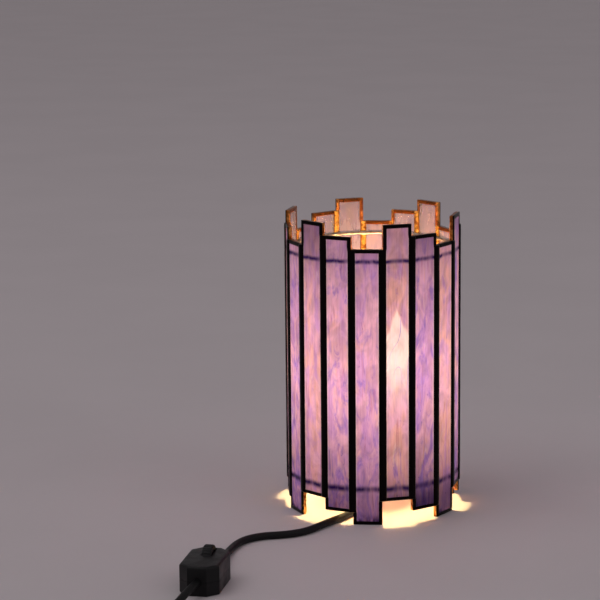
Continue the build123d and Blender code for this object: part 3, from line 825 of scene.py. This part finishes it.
class GLASSLAMP_OT_foil(bpy.types.Operator):
    """Fold tinned foil round the edges of each strip"""

    bl_idname = "glasslamp.foil"
    bl_label = "Foil frames"

    def execute(self, context):
        settings = context.scene.glass_lamp_lantern
        metal = soldered_metal("tinned_foil", settings, settings.copper)
        for number, bottom in enumerate(STRIP_BOTTOMS):
            maker = self.frame_solid()
            self.widen_free_edges(maker, number)
            bmesh.ops.transform(
                maker, matrix=around(number) @ Matrix.Translation((0, 0, bottom)), verts=maker.verts)
            self.tin(maker)
            node = f"foil_frame_{number + 1:02d}"
            finished(maker, f"tinned_foil_{number + 1:02d}", "lamp", metal, [node])
        return {"FINISHED"}

    @staticmethod
    def frame_solid():
        """The foil of the front strip: a rim with rounded edges, cut fine enough to tin."""
        maker = bmesh.new()
        half = STRIP_WIDTH / 2
        verts = block(maker, (-half, -OUTER_FACE, 0), (half, -INNER_FACE, STRIP_LENGTH))
        sides = [face for face in faces_of(verts) if abs(face.normal.y) > 0.9]
        bmesh.ops.inset_individual(maker, faces=sides, thickness=FOIL_LAP, use_even_offset=True)
        window = [edge for face in sides for edge in face.edges]
        bmesh.ops.delete(maker, geom=sides, context="FACES_ONLY")
        bmesh.ops.bridge_loops(maker, edges=window)
        bmesh.ops.recalc_face_normals(maker, faces=maker.faces)
        sharp = [edge for edge in maker.edges if edge.calc_face_angle(0) > math.radians(60)]

        def on_rim(place):
            return abs(place.x) > half - MM / 2 or not MM / 2 <= place.z <= STRIP_LENGTH - MM / 2

        rim = [edge for edge in sharp if any(on_rim(vert.co) for vert in edge.verts)]
        rounded(maker, rim, 0.5 * MM, 3)
        sliced(maker, 2, spread(FOIL_LAP, STRIP_LENGTH - FOIL_LAP, 3.2 * MM))
        sliced(maker, 0, spread(-half + FOIL_LAP, half - FOIL_LAP, 3.2 * MM))
        return maker

    @staticmethod
    def widen_free_edges(maker, number):
        """Draws the solder further over the glass at its ends and where it has no neighbour."""
        half, bottom, extra = STRIP_WIDTH / 2, STRIP_BOTTOMS[number], 0.45 * MM
        for vert in maker.verts:
            beside = STRIP_BOTTOMS[(number + (1 if vert.co.x > 0 else -1)) % STRIPS]
            low, high = max(bottom, beside) - bottom, min(bottom, beside) + STRIP_LENGTH - bottom
            if abs(abs(vert.co.x) - (half - FOIL_LAP)) < 0.2 * MM and (vert.co.z < low or vert.co.z > high):
                vert.co.x -= math.copysign(extra, vert.co.x)
            if abs(vert.co.x) < half - FOIL_LAP + 0.2 * MM:
                if abs(vert.co.z - FOIL_LAP) < 0.2 * MM:
                    vert.co.z += extra
                elif abs(vert.co.z - (STRIP_LENGTH - FOIL_LAP)) < 0.2 * MM:
                    vert.co.z -= extra

    @staticmethod
    def tin(maker):
        """Uneven solder over the foil, lumpier on the inner side."""
        maker.normal_update()
        axis_points = [(vert, vert.co.copy(), vert.normal.copy()) for vert in maker.verts]
        for vert, place, normal in axis_points:
            inward = normal.dot(Vector((place.x, place.y, 0)).normalized()) < -0.3
            height = 0.22 * MM if inward else 0.09 * MM
            vert.co = place + normal * height * (0.5 + lumpy(place, 4 * MM) + 0.4 * lumpy(place, 1.7 * MM, 5))


class GLASSLAMP_OT_seams(bpy.types.Operator):
    """Run the solder between neighbouring strips, smooth outside and lumpy inside"""

    bl_idname = "glasslamp.seams"
    bl_label = "Solder seams"

    def execute(self, context):
        settings = context.scene.glass_lamp_lantern
        metal = soldered_metal("solder_bead", settings, settings.solder)
        whole = bmesh.new()
        for number in range(STRIPS):
            low = max(STRIP_BOTTOMS[number], STRIP_BOTTOMS[(number + 1) % STRIPS])
            high = min(STRIP_BOTTOMS[number], STRIP_BOTTOMS[(number + 1) % STRIPS]) + STRIP_LENGTH
            seam = self.seam(low, high)
            self.run(seam, low, high, number * 3.7, settings)
            bmesh.ops.transform(seam, matrix=around(number + 0.5), verts=seam.verts)
            mesh = bpy.data.meshes.new("seam")
            seam.to_mesh(mesh)
            seam.free()
            whole.from_mesh(mesh)
            bpy.data.meshes.remove(mesh)
        finished(whole, "solder_runs", "lamp", metal, ["solder_seams"])
        return {"FINISHED"}

    @staticmethod
    def outline():
        """The seam's section as (sideways, distance from the axis): outer crown, waist and inner bead."""
        half_turn = STEP / 2

        def on_strip(across, depth):
            return (
                across * math.cos(half_turn) + depth * math.sin(half_turn),
                depth * math.cos(half_turn) - across * math.sin(half_turn),
            )

        edge = -STRIP_WIDTH / 2
        lap_side, lap_out = on_strip(edge + FOIL_LAP, OUTER_FACE)
        bead_side, bead_out = on_strip(edge + FOIL_LAP, INNER_FACE)
        corner, inner_corner = on_strip(edge, OUTER_FACE), on_strip(edge, INNER_FACE)
        crown = [
            (lap_side * math.cos(a), lap_out + (SEAM_CROWN - lap_out) * math.sin(a))
            for a in (math.pi * index / 10 for index in range(11))
        ]
        bead = [
            (-bead_side * math.cos(a), bead_out - (bead_out - SEAM_BEAD) * math.sin(a))
            for a in (math.pi * index / 8 for index in range(9))
        ]
        waist = [corner, inner_corner]
        mirrored = [(-side, out) for side, out in waist]
        return crown + mirrored + bead + waist[::-1]

    def seam(self, low, high):
        maker = bmesh.new()
        verts = [maker.verts.new((side, -out, low)) for side, out in self.outline()]
        face = maker.faces.new(verts)
        made = bmesh.ops.extrude_face_region(maker, geom=[face], use_keep_orig=True)["geom"]
        bmesh.ops.translate(maker, vec=(0, 0, high - low), verts=verts_among(made))
        sliced(maker, 2, [low + 0.5 * MM, low + 1.2 * MM] + spread(low + 1.2 * MM, high - 1.2 * MM, 2.4 * MM)
               + [high - 1.2 * MM, high - 0.5 * MM])
        return maker

    @staticmethod
    def run(maker, low, high, seed, settings):
        waist = (OUTER_FACE + INNER_FACE) / 2
        for vert in maker.verts:
            side, out, height = vert.co.x, -vert.co.y, vert.co.z
            end = min(height - low, high - height) / (1.6 * MM)
            swell = math.sqrt(max(0.0, 1 - (1 - min(end, 1)) ** 2))
            middle = max(0.0, 1 - abs(side) / (3.4 * MM))
            if out > OUTER_FACE + 0.2 * MM:
                low_face = OUTER_FACE + 0.1 * MM
                out = low_face + (out - low_face) * (0.35 + 0.65 * swell)
                out += settings.ripple * middle * (
                    lumpy((0, 0, height), 6 * MM, seed) + 0.4 * lumpy((side, 0, height), 2.2 * MM, seed))
                side *= 1 + 0.05 * lumpy((0, 0, height), 9 * MM, seed + 40)
            elif out < waist - 1.5 * MM:
                lump = lumpy((0, 0, height), 3.4 * MM, seed + 80)
                lump += 0.5 * lumpy((side, 0, height), 1.8 * MM, seed)
                out -= settings.lumps * middle * lump * swell
                side *= 1 + 0.14 * lumpy((0, 0, height), 4 * MM, seed + 120)
            vert.co = (side, -out, height)


class GLASSLAMP_OT_hoops(bpy.types.Operator):
    """Bend the two tinned hoops, with a lump of solder at each seam"""

    bl_idname = "glasslamp.hoops"
    bl_label = "Hoops"

    def execute(self, context):
        wire = context.scene.glass_lamp_lantern.hoop_wire
        tinned = plain_metal("tinned_wire", (0.50, 0.40, 0.33), 0.42, 0.4)
        for seed, node in enumerate(HOOPS):
            low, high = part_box(node)
            radius, height = high.x - wire / 2, (low.z + high.z) / 2
            maker = bmesh.new()
            ring = bmesh.ops.create_circle(maker, segments=12, radius=wire / 2)["verts"]
            stand = Matrix.Translation((radius, 0, height)) @ Matrix.Rotation(math.pi / 2, 4, "X")
            bmesh.ops.transform(maker, matrix=stand, verts=ring)
            bmesh.ops.spin(
                maker, geom=ring + edges_of(ring), cent=(0, 0, 0), axis=(0, 0, 1), angle=math.tau, steps=360,
                use_merge=True)
            for vert in maker.verts:
                self.swell(vert, radius, height, seed)
            hoop = finished(maker, f"{node}_wire", "lamp", tinned, [node])
            # the hoop wires cast no shadow; their shadows are painted into the glass instead
            hoop.visible_shadow = False
        return {"FINISHED"}

    @staticmethod
    def swell(vert, radius, height, seed):
        """Thickens the wire unevenly, and most where it meets a seam."""
        angle = math.atan2(vert.co.x, -vert.co.y)
        core = Vector((math.sin(angle) * radius, -math.cos(angle) * radius, height))
        to_seam = (angle / STEP) % 1 - 0.5
        solder = math.exp(-((to_seam * STEP * radius / (2.6 * MM)) ** 2))
        drip = max(0.0, lumpy(core, 9 * MM, seed * 9 + 2))
        vert.co = core + (vert.co - core) * (0.92 + 0.55 * solder + 0.55 * drip)


class GLASSLAMP_OT_spider(bpy.types.Operator):
    """Cut the brass spider that carries the lampholder"""

    bl_idname = "glasslamp.spider"
    bl_label = "Spider"

    def execute(self, context):
        low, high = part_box("holder_spider")
        brass = plain_metal("spider_brass", (0.70, 0.46, 0.20), 0.30)
        maker = bmesh.new()
        reach = -low.y
        for _ in range(ARMS):
            verts = block(maker, (-ARM_WIDTH / 2, -reach, low.z), (ARM_WIDTH / 2, -9 * MM, high.z))
            rounded(maker, [e for e in edges_of(verts) if e.verts[0].co.y < -reach + MM], 0.5 * MM, 2)
            bmesh.ops.rotate(
                maker, cent=(0, 0, 0), matrix=Matrix.Rotation(math.tau / ARMS, 3, "Z"), verts=maker.verts)
        turned(maker, [
            (5.1 * MM, low.z), (12.6 * MM, low.z), (13 * MM, low.z + 0.4 * MM), (13 * MM, high.z - 0.4 * MM),
            (12.6 * MM, high.z), (5.1 * MM, high.z),
        ], 64, True)
        finished(maker, "spider_plate", "lamp", brass, ["holder_spider"])
        return {"FINISHED"}


# ======================================================================== the lampholder
def scaled(profile):
    return [(radius * MM, height * MM) for radius, height in profile]


def turned_piece(name, node, material, steps, profile):
    """A black plastic part of the lampholder, turned from one closed outline in millimetres."""
    maker = bmesh.new()
    turned(maker, scaled(profile), steps, True)
    finished(maker, name, "lamp", material, [node])


class GLASSLAMP_OT_lampholder(bpy.types.Operator):
    """Turn the lampholder's cap and shell, its nipple, nut and cord grip"""

    bl_idname = "glasslamp.lampholder"
    bl_label = "Lampholder"

    def execute(self, context):
        black = moulded_plastic("phenolic", (0.016, 0.014, 0.013), 0.26, 1800)
        brass = bpy.data.materials["spider_brass"]
        base, join, top = HOLDER_BOTTOM / MM, HOLDER_JOIN / MM, HOLDER_TOP / MM
        turned_piece("holder_cap", "lampholder_cap", black, 64, [
            (5.2, base), (9, base), (11, base + 0.5), (12.6, base + 1.6), (13.6, base + 3.2), (14, base + 5),
            (14, join - 0.6), (13.6, join - 0.1), (12.5, join - 0.1), (12.4, base + 5.2), (11.4, base + 2.6),
            (9, base + 1.6), (5.2, base + 1.6),
        ])
        ribs = [(13.5 - 0.45 * (index % 2), join + 2.4 + 0.9 * index) for index in range(19)]
        turned_piece("holder_shell", "lampholder_shell", black, 64, [
            (11.9, join), (13.5, join), (13.5, join + 1.6), *ribs, (13.5, top - 4.4), (13.5, top - 1.6),
            (13.1, top - 0.6), (12.2, top), (9.8, top), (9.2, top - 0.5), (9.2, top - 2), (11.9, top - 3),
        ])
        self.threaded("nipple", "hollow_nipple", 3.5 * MM, 4.95 * MM, MM, brass)
        self.nut(brass)
        low, high = (corner.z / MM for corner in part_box("cord_grip"))
        turned_piece("grip_bush", "cord_grip", black, 48, [
            (3.1, low), (4.6, low), (6.4, low + 0.7), (7, low + 1.8), (7, high - 0.4), (6.6, high),
            (3.1, high),
        ])
        self.plain_nodes(brass)
        return {"FINISHED"}

    @staticmethod
    def plain_nodes(brass):
        ceramic = moulded_plastic("steatite", (0.72, 0.69, 0.62), 0.55, 900)
        zinc = plain_metal("zinc_plate", (0.62, 0.63, 0.64), 0.3)
        for node, material in (
            ("lampholder_terminal_block", ceramic), ("lampholder_contact_spring", brass),
            ("lampholder_screw_sleeve", brass), ("bulb_tip_contact", zinc), ("dimmer_screws", zinc),
        ):
            coat(node, material)

    @staticmethod
    def threaded(name, node, bore, radius, pitch, material):
        """A tube with a real thread round its outside."""
        low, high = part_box(node)
        rows = int((high.z - low.z) / (pitch / 4))
        outside = [(radius, low.z + (high.z - low.z) * row / rows) for row in range(rows + 1)]
        maker = bmesh.new()
        turned(maker, [(bore, low.z), *outside, (bore, high.z)], 32, True)
        for vert in maker.verts:
            if vert.co.xy.length > radius - 0.1 * MM:
                turn = math.atan2(vert.co.y, vert.co.x) / math.tau
                depth = 0.22 * pitch * (1 - math.cos(math.tau * (vert.co.z / pitch - turn)))
                vert.co.xy *= 1 - depth / radius
        finished(maker, name, "lamp", material, [node])

    @staticmethod
    def nut(material):
        low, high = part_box("lock_nut")
        maker = bmesh.new()
        corner_radius = NUT_FLATS / 2 / math.cos(math.pi / 6)
        height = high.z - low.z
        verts = bmesh.ops.create_cone(
            maker, cap_ends=True, segments=6, radius1=corner_radius, radius2=corner_radius, depth=height,
            matrix=Matrix.Translation((0, 0, low.z + height / 2)))["verts"]
        caps = [face for face in faces_of(verts) if abs(face.normal.z) > 0.9]
        rounded(maker, [edge for face in caps for edge in face.edges], 0.5 * MM, 2)
        finished(maker, "nut", "lamp", material, ["lock_nut"])


# ======================================================================== the bulb
def filament_side(number):
    """The turn from +X to the side on which a filament stands."""
    return Matrix.Rotation(math.radians(45) + number * math.tau / FILAMENTS, 4, "Z")


def filament_ends(number):
    low, high = FILAMENT_RADII
    side = filament_side(number)
    return side @ Vector((low, 0, FILAMENT_LOW)), side @ Vector((high, 0, FILAMENT_HIGH))


class GLASSLAMP_OT_bulb(bpy.types.Operator):
    """Blow the bulb, with its filaments, its stem and its screw cap, and light it"""

    bl_idname = "glasslamp.bulb"
    bl_label = "Bulb"

    def execute(self, context):
        settings = context.scene.glass_lamp_bulb
        self.envelope()
        self.cap()
        self.filaments(settings)
        self.lights(context, settings)
        return {"FINISHED"}

    @staticmethod
    def envelope():
        outside = [
            (8, 85.5), (8.3, 87), (9.6, 89.4), (11.7, 92.5), (13.9, 96.2), (15.8, 100.6), (17.0, 105.6),
            (17.45, 111), (17.3, 117), (16.5, 123.5), (15.1, 130), (13.1, 136.6), (10.7, 143), (8.0, 148.8),
            (5.2, 153.4), (2.7, 156.6), (1.2, 158), (0.0, 158.4),
        ]
        inside = [(max(radius - BULB_WALL, 0.0), height) for radius, height in outside[:-3]] + [(0.0, 156.2)]
        maker = bmesh.new()
        turned(maker, scaled(outside + inside[::-1]), 64, True)
        finished(maker, "bulb_glass", "bulb", clear_bulb_glass(), ["bulb_envelope"])

    @staticmethod
    def cap():
        nickel = plain_metal("nickel_plate", (0.72, 0.68, 0.62), 0.22)
        low = CAP_BOTTOM / MM
        rows = 48
        thread_low, thread_high = low + 2.2, low + 15.6
        thread = [(6.45, thread_low + (thread_high - thread_low) * row / rows) for row in range(rows + 1)]
        maker = bmesh.new()
        turned(maker, scaled([
            (0, low), (3.6, low), (5.9, low + 1.8), *thread, (6.5, 79.8), (8.0, 81), (8.2, 82), (8.2, 85.2),
            (8.0, 85.5), (0, 85.5),
        ]), 48)
        for vert in maker.verts:
            if thread_low * MM < vert.co.z < thread_high * MM and vert.co.xy.length > 6 * MM:
                turn = math.atan2(vert.co.y, vert.co.x) / math.tau
                rise = 0.38 * MM * math.cos(math.tau * (vert.co.z / THREAD_PITCH - turn))
                vert.co.xy *= 1 + rise / vert.co.xy.length
        finished(maker, "bulb_cap", "bulb", nickel, ["bulb_screw_cap"])

    @staticmethod
    def filaments(settings):
        maker = bmesh.new()
        for number in range(FILAMENTS):
            rod(maker, *filament_ends(number), 0.75 * MM, 10)
        strips = finished(
            maker, "filament_strips", "bulb", glowing_filament(settings), ["bulb_filaments"])
        strips.visible_shadow = False
        maker = bmesh.new()
        for number in range(FILAMENTS):
            low, high = filament_ends(number)
            rod(maker, Vector((0, 0, FILAMENT_LOW - 3 * MM)), low, 0.25 * MM, 6)
            rod(maker, high, Vector((0, 0, FILAMENT_HIGH + 2 * MM)), 0.25 * MM, 6)
        finished(maker, "filament_wires", "bulb", plain_metal("lead_wire", (0.6, 0.55, 0.5), 0.3))
        maker = bmesh.new()
        turned(maker, scaled([
            (0, 86), (5.2, 86), (3.4, 88.5), (2.3, 92), (2.0, 96), (1.4, 97), (0, 97.2),
        ]), 24)
        finished(maker, "bulb_stem", "bulb", clear_bulb_glass())

    @staticmethod
    def lights(context, settings):
        """Two small lamps on each filament, so that shadows are as crisp as a filament bulb's."""
        for number in range(FILAMENTS):
            for share in LIGHT_SHARES:
                data = bpy.data.lights.new(f"filament_light_{number + 1}", "POINT")
                data.energy = settings.power / (FILAMENTS * len(LIGHT_SHARES))
                data.color = settings.warmth
                data.shadow_soft_size = 1.2 * MM
                light = bpy.data.objects.new(data.name, data)
                height = FILAMENT_LOW + (FILAMENT_HIGH - FILAMENT_LOW) * share
                light.location = filament_side(number) @ Vector((LIGHT_RADIUS, 0, height))
                context.scene.collection.objects.link(light)


def rod(maker, start, end, radius, sides):
    """A round rod between two points."""
    along = end - start
    place = Matrix.Translation((start + end) / 2) @ along.to_track_quat("Z", "Y").to_matrix().to_4x4()
    bmesh.ops.create_cone(
        maker, cap_ends=True, segments=sides, radius1=radius, radius2=radius, depth=along.length,
        matrix=place)


# ======================================================================== the dimmer and the plug
def dimmer_place():
    """From the dimmer's own place, along +Y and on the table, to where it lies."""
    return Matrix.Translation(DIMMER_CENTRE) @ Matrix.Rotation(DIMMER_TURN, 4, "Z")


def eight_sided(maker, low, high):
    """A block with the dimmer's cut corners, lying along Y."""
    verts = block(
        maker, (-DIMMER_WIDTH / 2, -DIMMER_LENGTH / 2, low), (DIMMER_WIDTH / 2, DIMMER_LENGTH / 2, high))
    upright = [e for e in edges_of(verts) if abs(e.verts[0].co.z - e.verts[1].co.z) > MM]
    rounded(maker, upright, 8 * MM, 1)


class GLASSLAMP_OT_dimmer(bpy.types.Operator):
    """Mould the dimmer's two shells and its ribbed thumbwheel"""

    bl_idname = "glasslamp.dimmer"
    bl_label = "Dimmer"

    def execute(self, context):
        settings = context.scene.glass_lamp_cord
        black = moulded_plastic("dimmer_plastic", settings.plastic, 0.42, shine=0.25)
        maker = bmesh.new()
        eight_sided(maker, 0, DIMMER_JOIN - 0.25 * MM)
        rim = [e for e in maker.edges if max(v.co.z for v in e.verts) < 0.1 * MM]
        rounded(maker, rim, 1.2 * MM, 3)
        bmesh.ops.transform(maker, matrix=dimmer_place(), verts=maker.verts)
        finished(maker, "dimmer_base", "lamp", black, ["dimmer_lower_shell"])
        maker = bmesh.new()
        eight_sided(maker, DIMMER_JOIN, DIMMER_TOP)
        rim = [e for e in maker.edges if min(v.co.z for v in e.verts) > DIMMER_TOP - 0.1 * MM]
        rounded(maker, rim, 2.2 * MM, 4)
        self.wheel_slot(maker)
        bmesh.ops.transform(maker, matrix=dimmer_place(), verts=maker.verts)
        finished(maker, "dimmer_cover", "lamp", black, ["dimmer_upper_shell"])
        self.wheel(settings)
        return {"FINISHED"}

    @staticmethod
    def wheel_slot(maker):
        """Sinks a slot for the wheel into the top."""
        half = WHEEL_WIDTH / 2 + WHEEL_GAP
        reach = WHEEL_RADIUS * WHEEL_SHOWN
        sliced(maker, 0, [-half, half])
        sliced(maker, 1, [WHEEL_PLACE - reach, WHEEL_PLACE + reach])
        top = []
        for face in maker.faces:
            middle = face.calc_center_median()
            within = abs(middle.x) < half and abs(middle.y - WHEEL_PLACE) < reach
            if face.normal.z > 0.9 and within and middle.z > DIMMER_JOIN:
                top.append(face)
        made = bmesh.ops.extrude_face_region(maker, geom=top)["geom"]
        bmesh.ops.translate(maker, vec=(0, 0, -WHEEL_SLOT_DEPTH), verts=verts_among(made))
        bmesh.ops.delete(maker, geom=top, context="FACES_ONLY")

    @staticmethod
    def wheel(settings):
        maker = bmesh.new()
        verts = bmesh.ops.create_cone(
            maker, cap_ends=True, segments=WHEEL_GROOVES * 4, radius1=WHEEL_RADIUS, radius2=WHEEL_RADIUS,
            depth=WHEEL_WIDTH)["verts"]
        for vert in verts:
            turn = math.atan2(vert.co.y, vert.co.x)
            vert.co.xy *= 1 - GROOVE_DEPTH * (1 - math.cos(turn * WHEEL_GROOVES)) / 2
        caps = [face for face in faces_of(verts) if abs(face.normal.z) > 0.9]
        rounded(maker, [edge for face in caps for edge in face.edges], 1.6 * MM, 4)
        caps = [face for face in maker.faces if abs(face.normal.z) > 0.9 and len(face.verts) > 20]
        bmesh.ops.inset_region(maker, faces=caps, thickness=2.2 * MM)
        bmesh.ops.inset_region(maker, faces=caps, thickness=0.5 * MM, depth=-0.6 * MM)
        lie = Matrix.Translation((0, WHEEL_PLACE, WHEEL_AXLE)) @ Matrix.Rotation(math.pi / 2, 4, "Y")
        bmesh.ops.transform(maker, matrix=dimmer_place() @ lie, verts=maker.verts)
        black = moulded_plastic("wheel_plastic", settings.plastic, 0.48, 1000, 0.25)
        finished(maker, "thumbwheel", "dimmer_wheel", black, ["dimmer_wheel"])


class GLASSLAMP_OT_plug(bpy.types.Operator):
    """Mould the two-pin plug with its ribbed strain relief"""

    bl_idname = "glasslamp.plug"
    bl_label = "Plug"

    def execute(self, context):
        settings = context.scene.glass_lamp_cord
        rubber = moulded_plastic("plug_rubber", settings.plastic, 0.5, 900, 0.3)
        start = Vector(PLUG_ROUTE[-1]) * MM
        place = Matrix.Translation(start) @ Matrix.Rotation(PLUG_TURN, 4, "Z")
        maker = bmesh.new()
        tail, head = PLUG_HALF_WIDTHS
        block(maker, (0, -tail * MM, -PLUG_HEIGHT / 2), (PLUG_LENGTH, tail * MM, PLUG_HEIGHT / 2))
        sliced(maker, 0, [along * MM for along in (4, 8, 12, 16, 20, 25)])
        for vert in maker.verts:
            along = vert.co.x / MM
            widen = min(max((along - NECK_END) / SHOULDER_LENGTH, 0.0), 1.0)
            half_width = tail + (head - tail) * widen * widen * (3 - 2 * widen)
            vert.co.y = math.copysign(half_width * MM, vert.co.y)
            vert.co.z *= 0.74 + 0.26 * widen
        long_edges = [e for e in maker.edges if e.calc_face_angle(0) > math.radians(50)]
        rounded(maker, long_edges, 2.4 * MM, 4)
        bmesh.ops.transform(maker, matrix=place, verts=maker.verts)
        finished(maker, "plug_body", "lamp", rubber, ["plug"])
        self.strain_relief(place, rubber, settings.ribs)
        self.pins(place)
        return {"FINISHED"}

    @staticmethod
    def strain_relief(place, rubber, ribs):
        """A tapered, ribbed sleeve where the cord comes out."""
        pitch = RELIEF_LENGTH / ribs
        profile = [(3.05, -RELIEF_LENGTH)]
        for rib in range(ribs):
            low = -RELIEF_LENGTH + rib * pitch
            radius = 3.7 + 0.9 * rib / ribs
            profile += [(radius, low + 0.2), (radius + 0.25, low + 1.2), (radius + 0.25, low + 2.2),
                        (radius - 0.25, low + 2.9), (radius - 0.25, low + pitch - 0.3)]
        profile += [(4.6, 0.5), (3.05, 0.5)]
        maker = bmesh.new()
        turned(maker, scaled(profile), 24, True)
        bmesh.ops.transform(maker, matrix=place @ Matrix.Rotation(math.pi / 2, 4, "Y"), verts=maker.verts)
        finished(maker, "plug_strain_relief", "lamp", rubber)

    @staticmethod
    def pins(place):
        steel = plain_metal("pin_nickel", (0.72, 0.70, 0.66), 0.2)
        sleeve = moulded_plastic("pin_sleeve", (0.012, 0.012, 0.012), 0.4)
        lie = Matrix.Translation((0, -PIN_SPACING / 2, 0)) @ Matrix.Rotation(math.pi / 2, 4, "Y")
        for name, material, low, high, tip in (
            ("plug_pins", steel, 45.0, 55.0, 1.0), ("plug_pin_sleeves", sleeve, 35.8, 45.0, 0.1),
        ):
            maker = bmesh.new()
            turned(maker, scaled([
                (0, low), (PIN_RADIUS, low), (PIN_RADIUS, high - tip), (PIN_RADIUS - tip, high), (0, high),
            ]), 20)
            bmesh.ops.transform(maker, matrix=lie, verts=maker.verts)
            pin = maker.verts[:] + maker.edges[:] + maker.faces[:]
            twin = bmesh.ops.duplicate(maker, geom=pin)["geom"]
            bmesh.ops.translate(maker, vec=(0, PIN_SPACING, 0), verts=verts_among(twin))
            bmesh.ops.transform(maker, matrix=place, verts=maker.verts)
            finished(maker, name, "lamp", material)


class GLASSLAMP_OT_declare_cords(bpy.types.Operator):
    """An empty step: it does nothing"""

    bl_idname = "glasslamp.declare_cords"
    bl_label = "State the cords"

    def execute(self, context):
        return {"FINISHED"}


# ======================================================================== the add-on
STEPS = (
    GLASSLAMP_OT_camera, GLASSLAMP_OT_cords, GLASSLAMP_OT_coil_tie, GLASSLAMP_OT_glass, GLASSLAMP_OT_foil,
    GLASSLAMP_OT_seams, GLASSLAMP_OT_hoops, GLASSLAMP_OT_spider, GLASSLAMP_OT_lampholder, GLASSLAMP_OT_bulb,
    GLASSLAMP_OT_dimmer, GLASSLAMP_OT_plug, GLASSLAMP_OT_declare_cords, GLASSLAMP_OT_stage,
)
SETTINGS = {
    "glass_lamp_lantern": LanternSettings,
    "glass_lamp_bulb": BulbSettings,
    "glass_lamp_cord": CordSettings,
    "glass_lamp_stage": StageSettings,
}


class GLASSLAMP_PT_panel(bpy.types.Panel):
    """The lamp's settings and the steps that build it"""

    bl_idname = "GLASSLAMP_PT_panel"
    bl_label = "Glass Lamp"
    bl_space_type = "VIEW_3D"
    bl_region_type = "UI"
    bl_category = "Glass Lamp"

    def draw(self, context):
        for name in SETTINGS:
            box = self.layout.box()
            group = getattr(context.scene, name)
            for setting in group.bl_rna.properties:
                if setting.identifier not in ("rna_type", "name"):
                    box.prop(group, setting.identifier)
        for step in STEPS:
            self.layout.operator(step.bl_idname)


def register():
    for name, group in SETTINGS.items():
        bpy.utils.register_class(group)
        setattr(bpy.types.Scene, name, PointerProperty(type=group))
    for step in (*STEPS, GLASSLAMP_PT_panel):
        bpy.utils.register_class(step)


def unregister():
    for step in (GLASSLAMP_PT_panel, *reversed(STEPS)):
        bpy.utils.unregister_class(step)
    for name, group in reversed(SETTINGS.items()):
        delattr(bpy.types.Scene, name)
        bpy.utils.unregister_class(group)


def main():
    register()
    for step in STEPS:
        group, operator = step.bl_idname.split(".")
        getattr(getattr(bpy.ops, group), operator)()


if __name__ == "__main__":
    main()
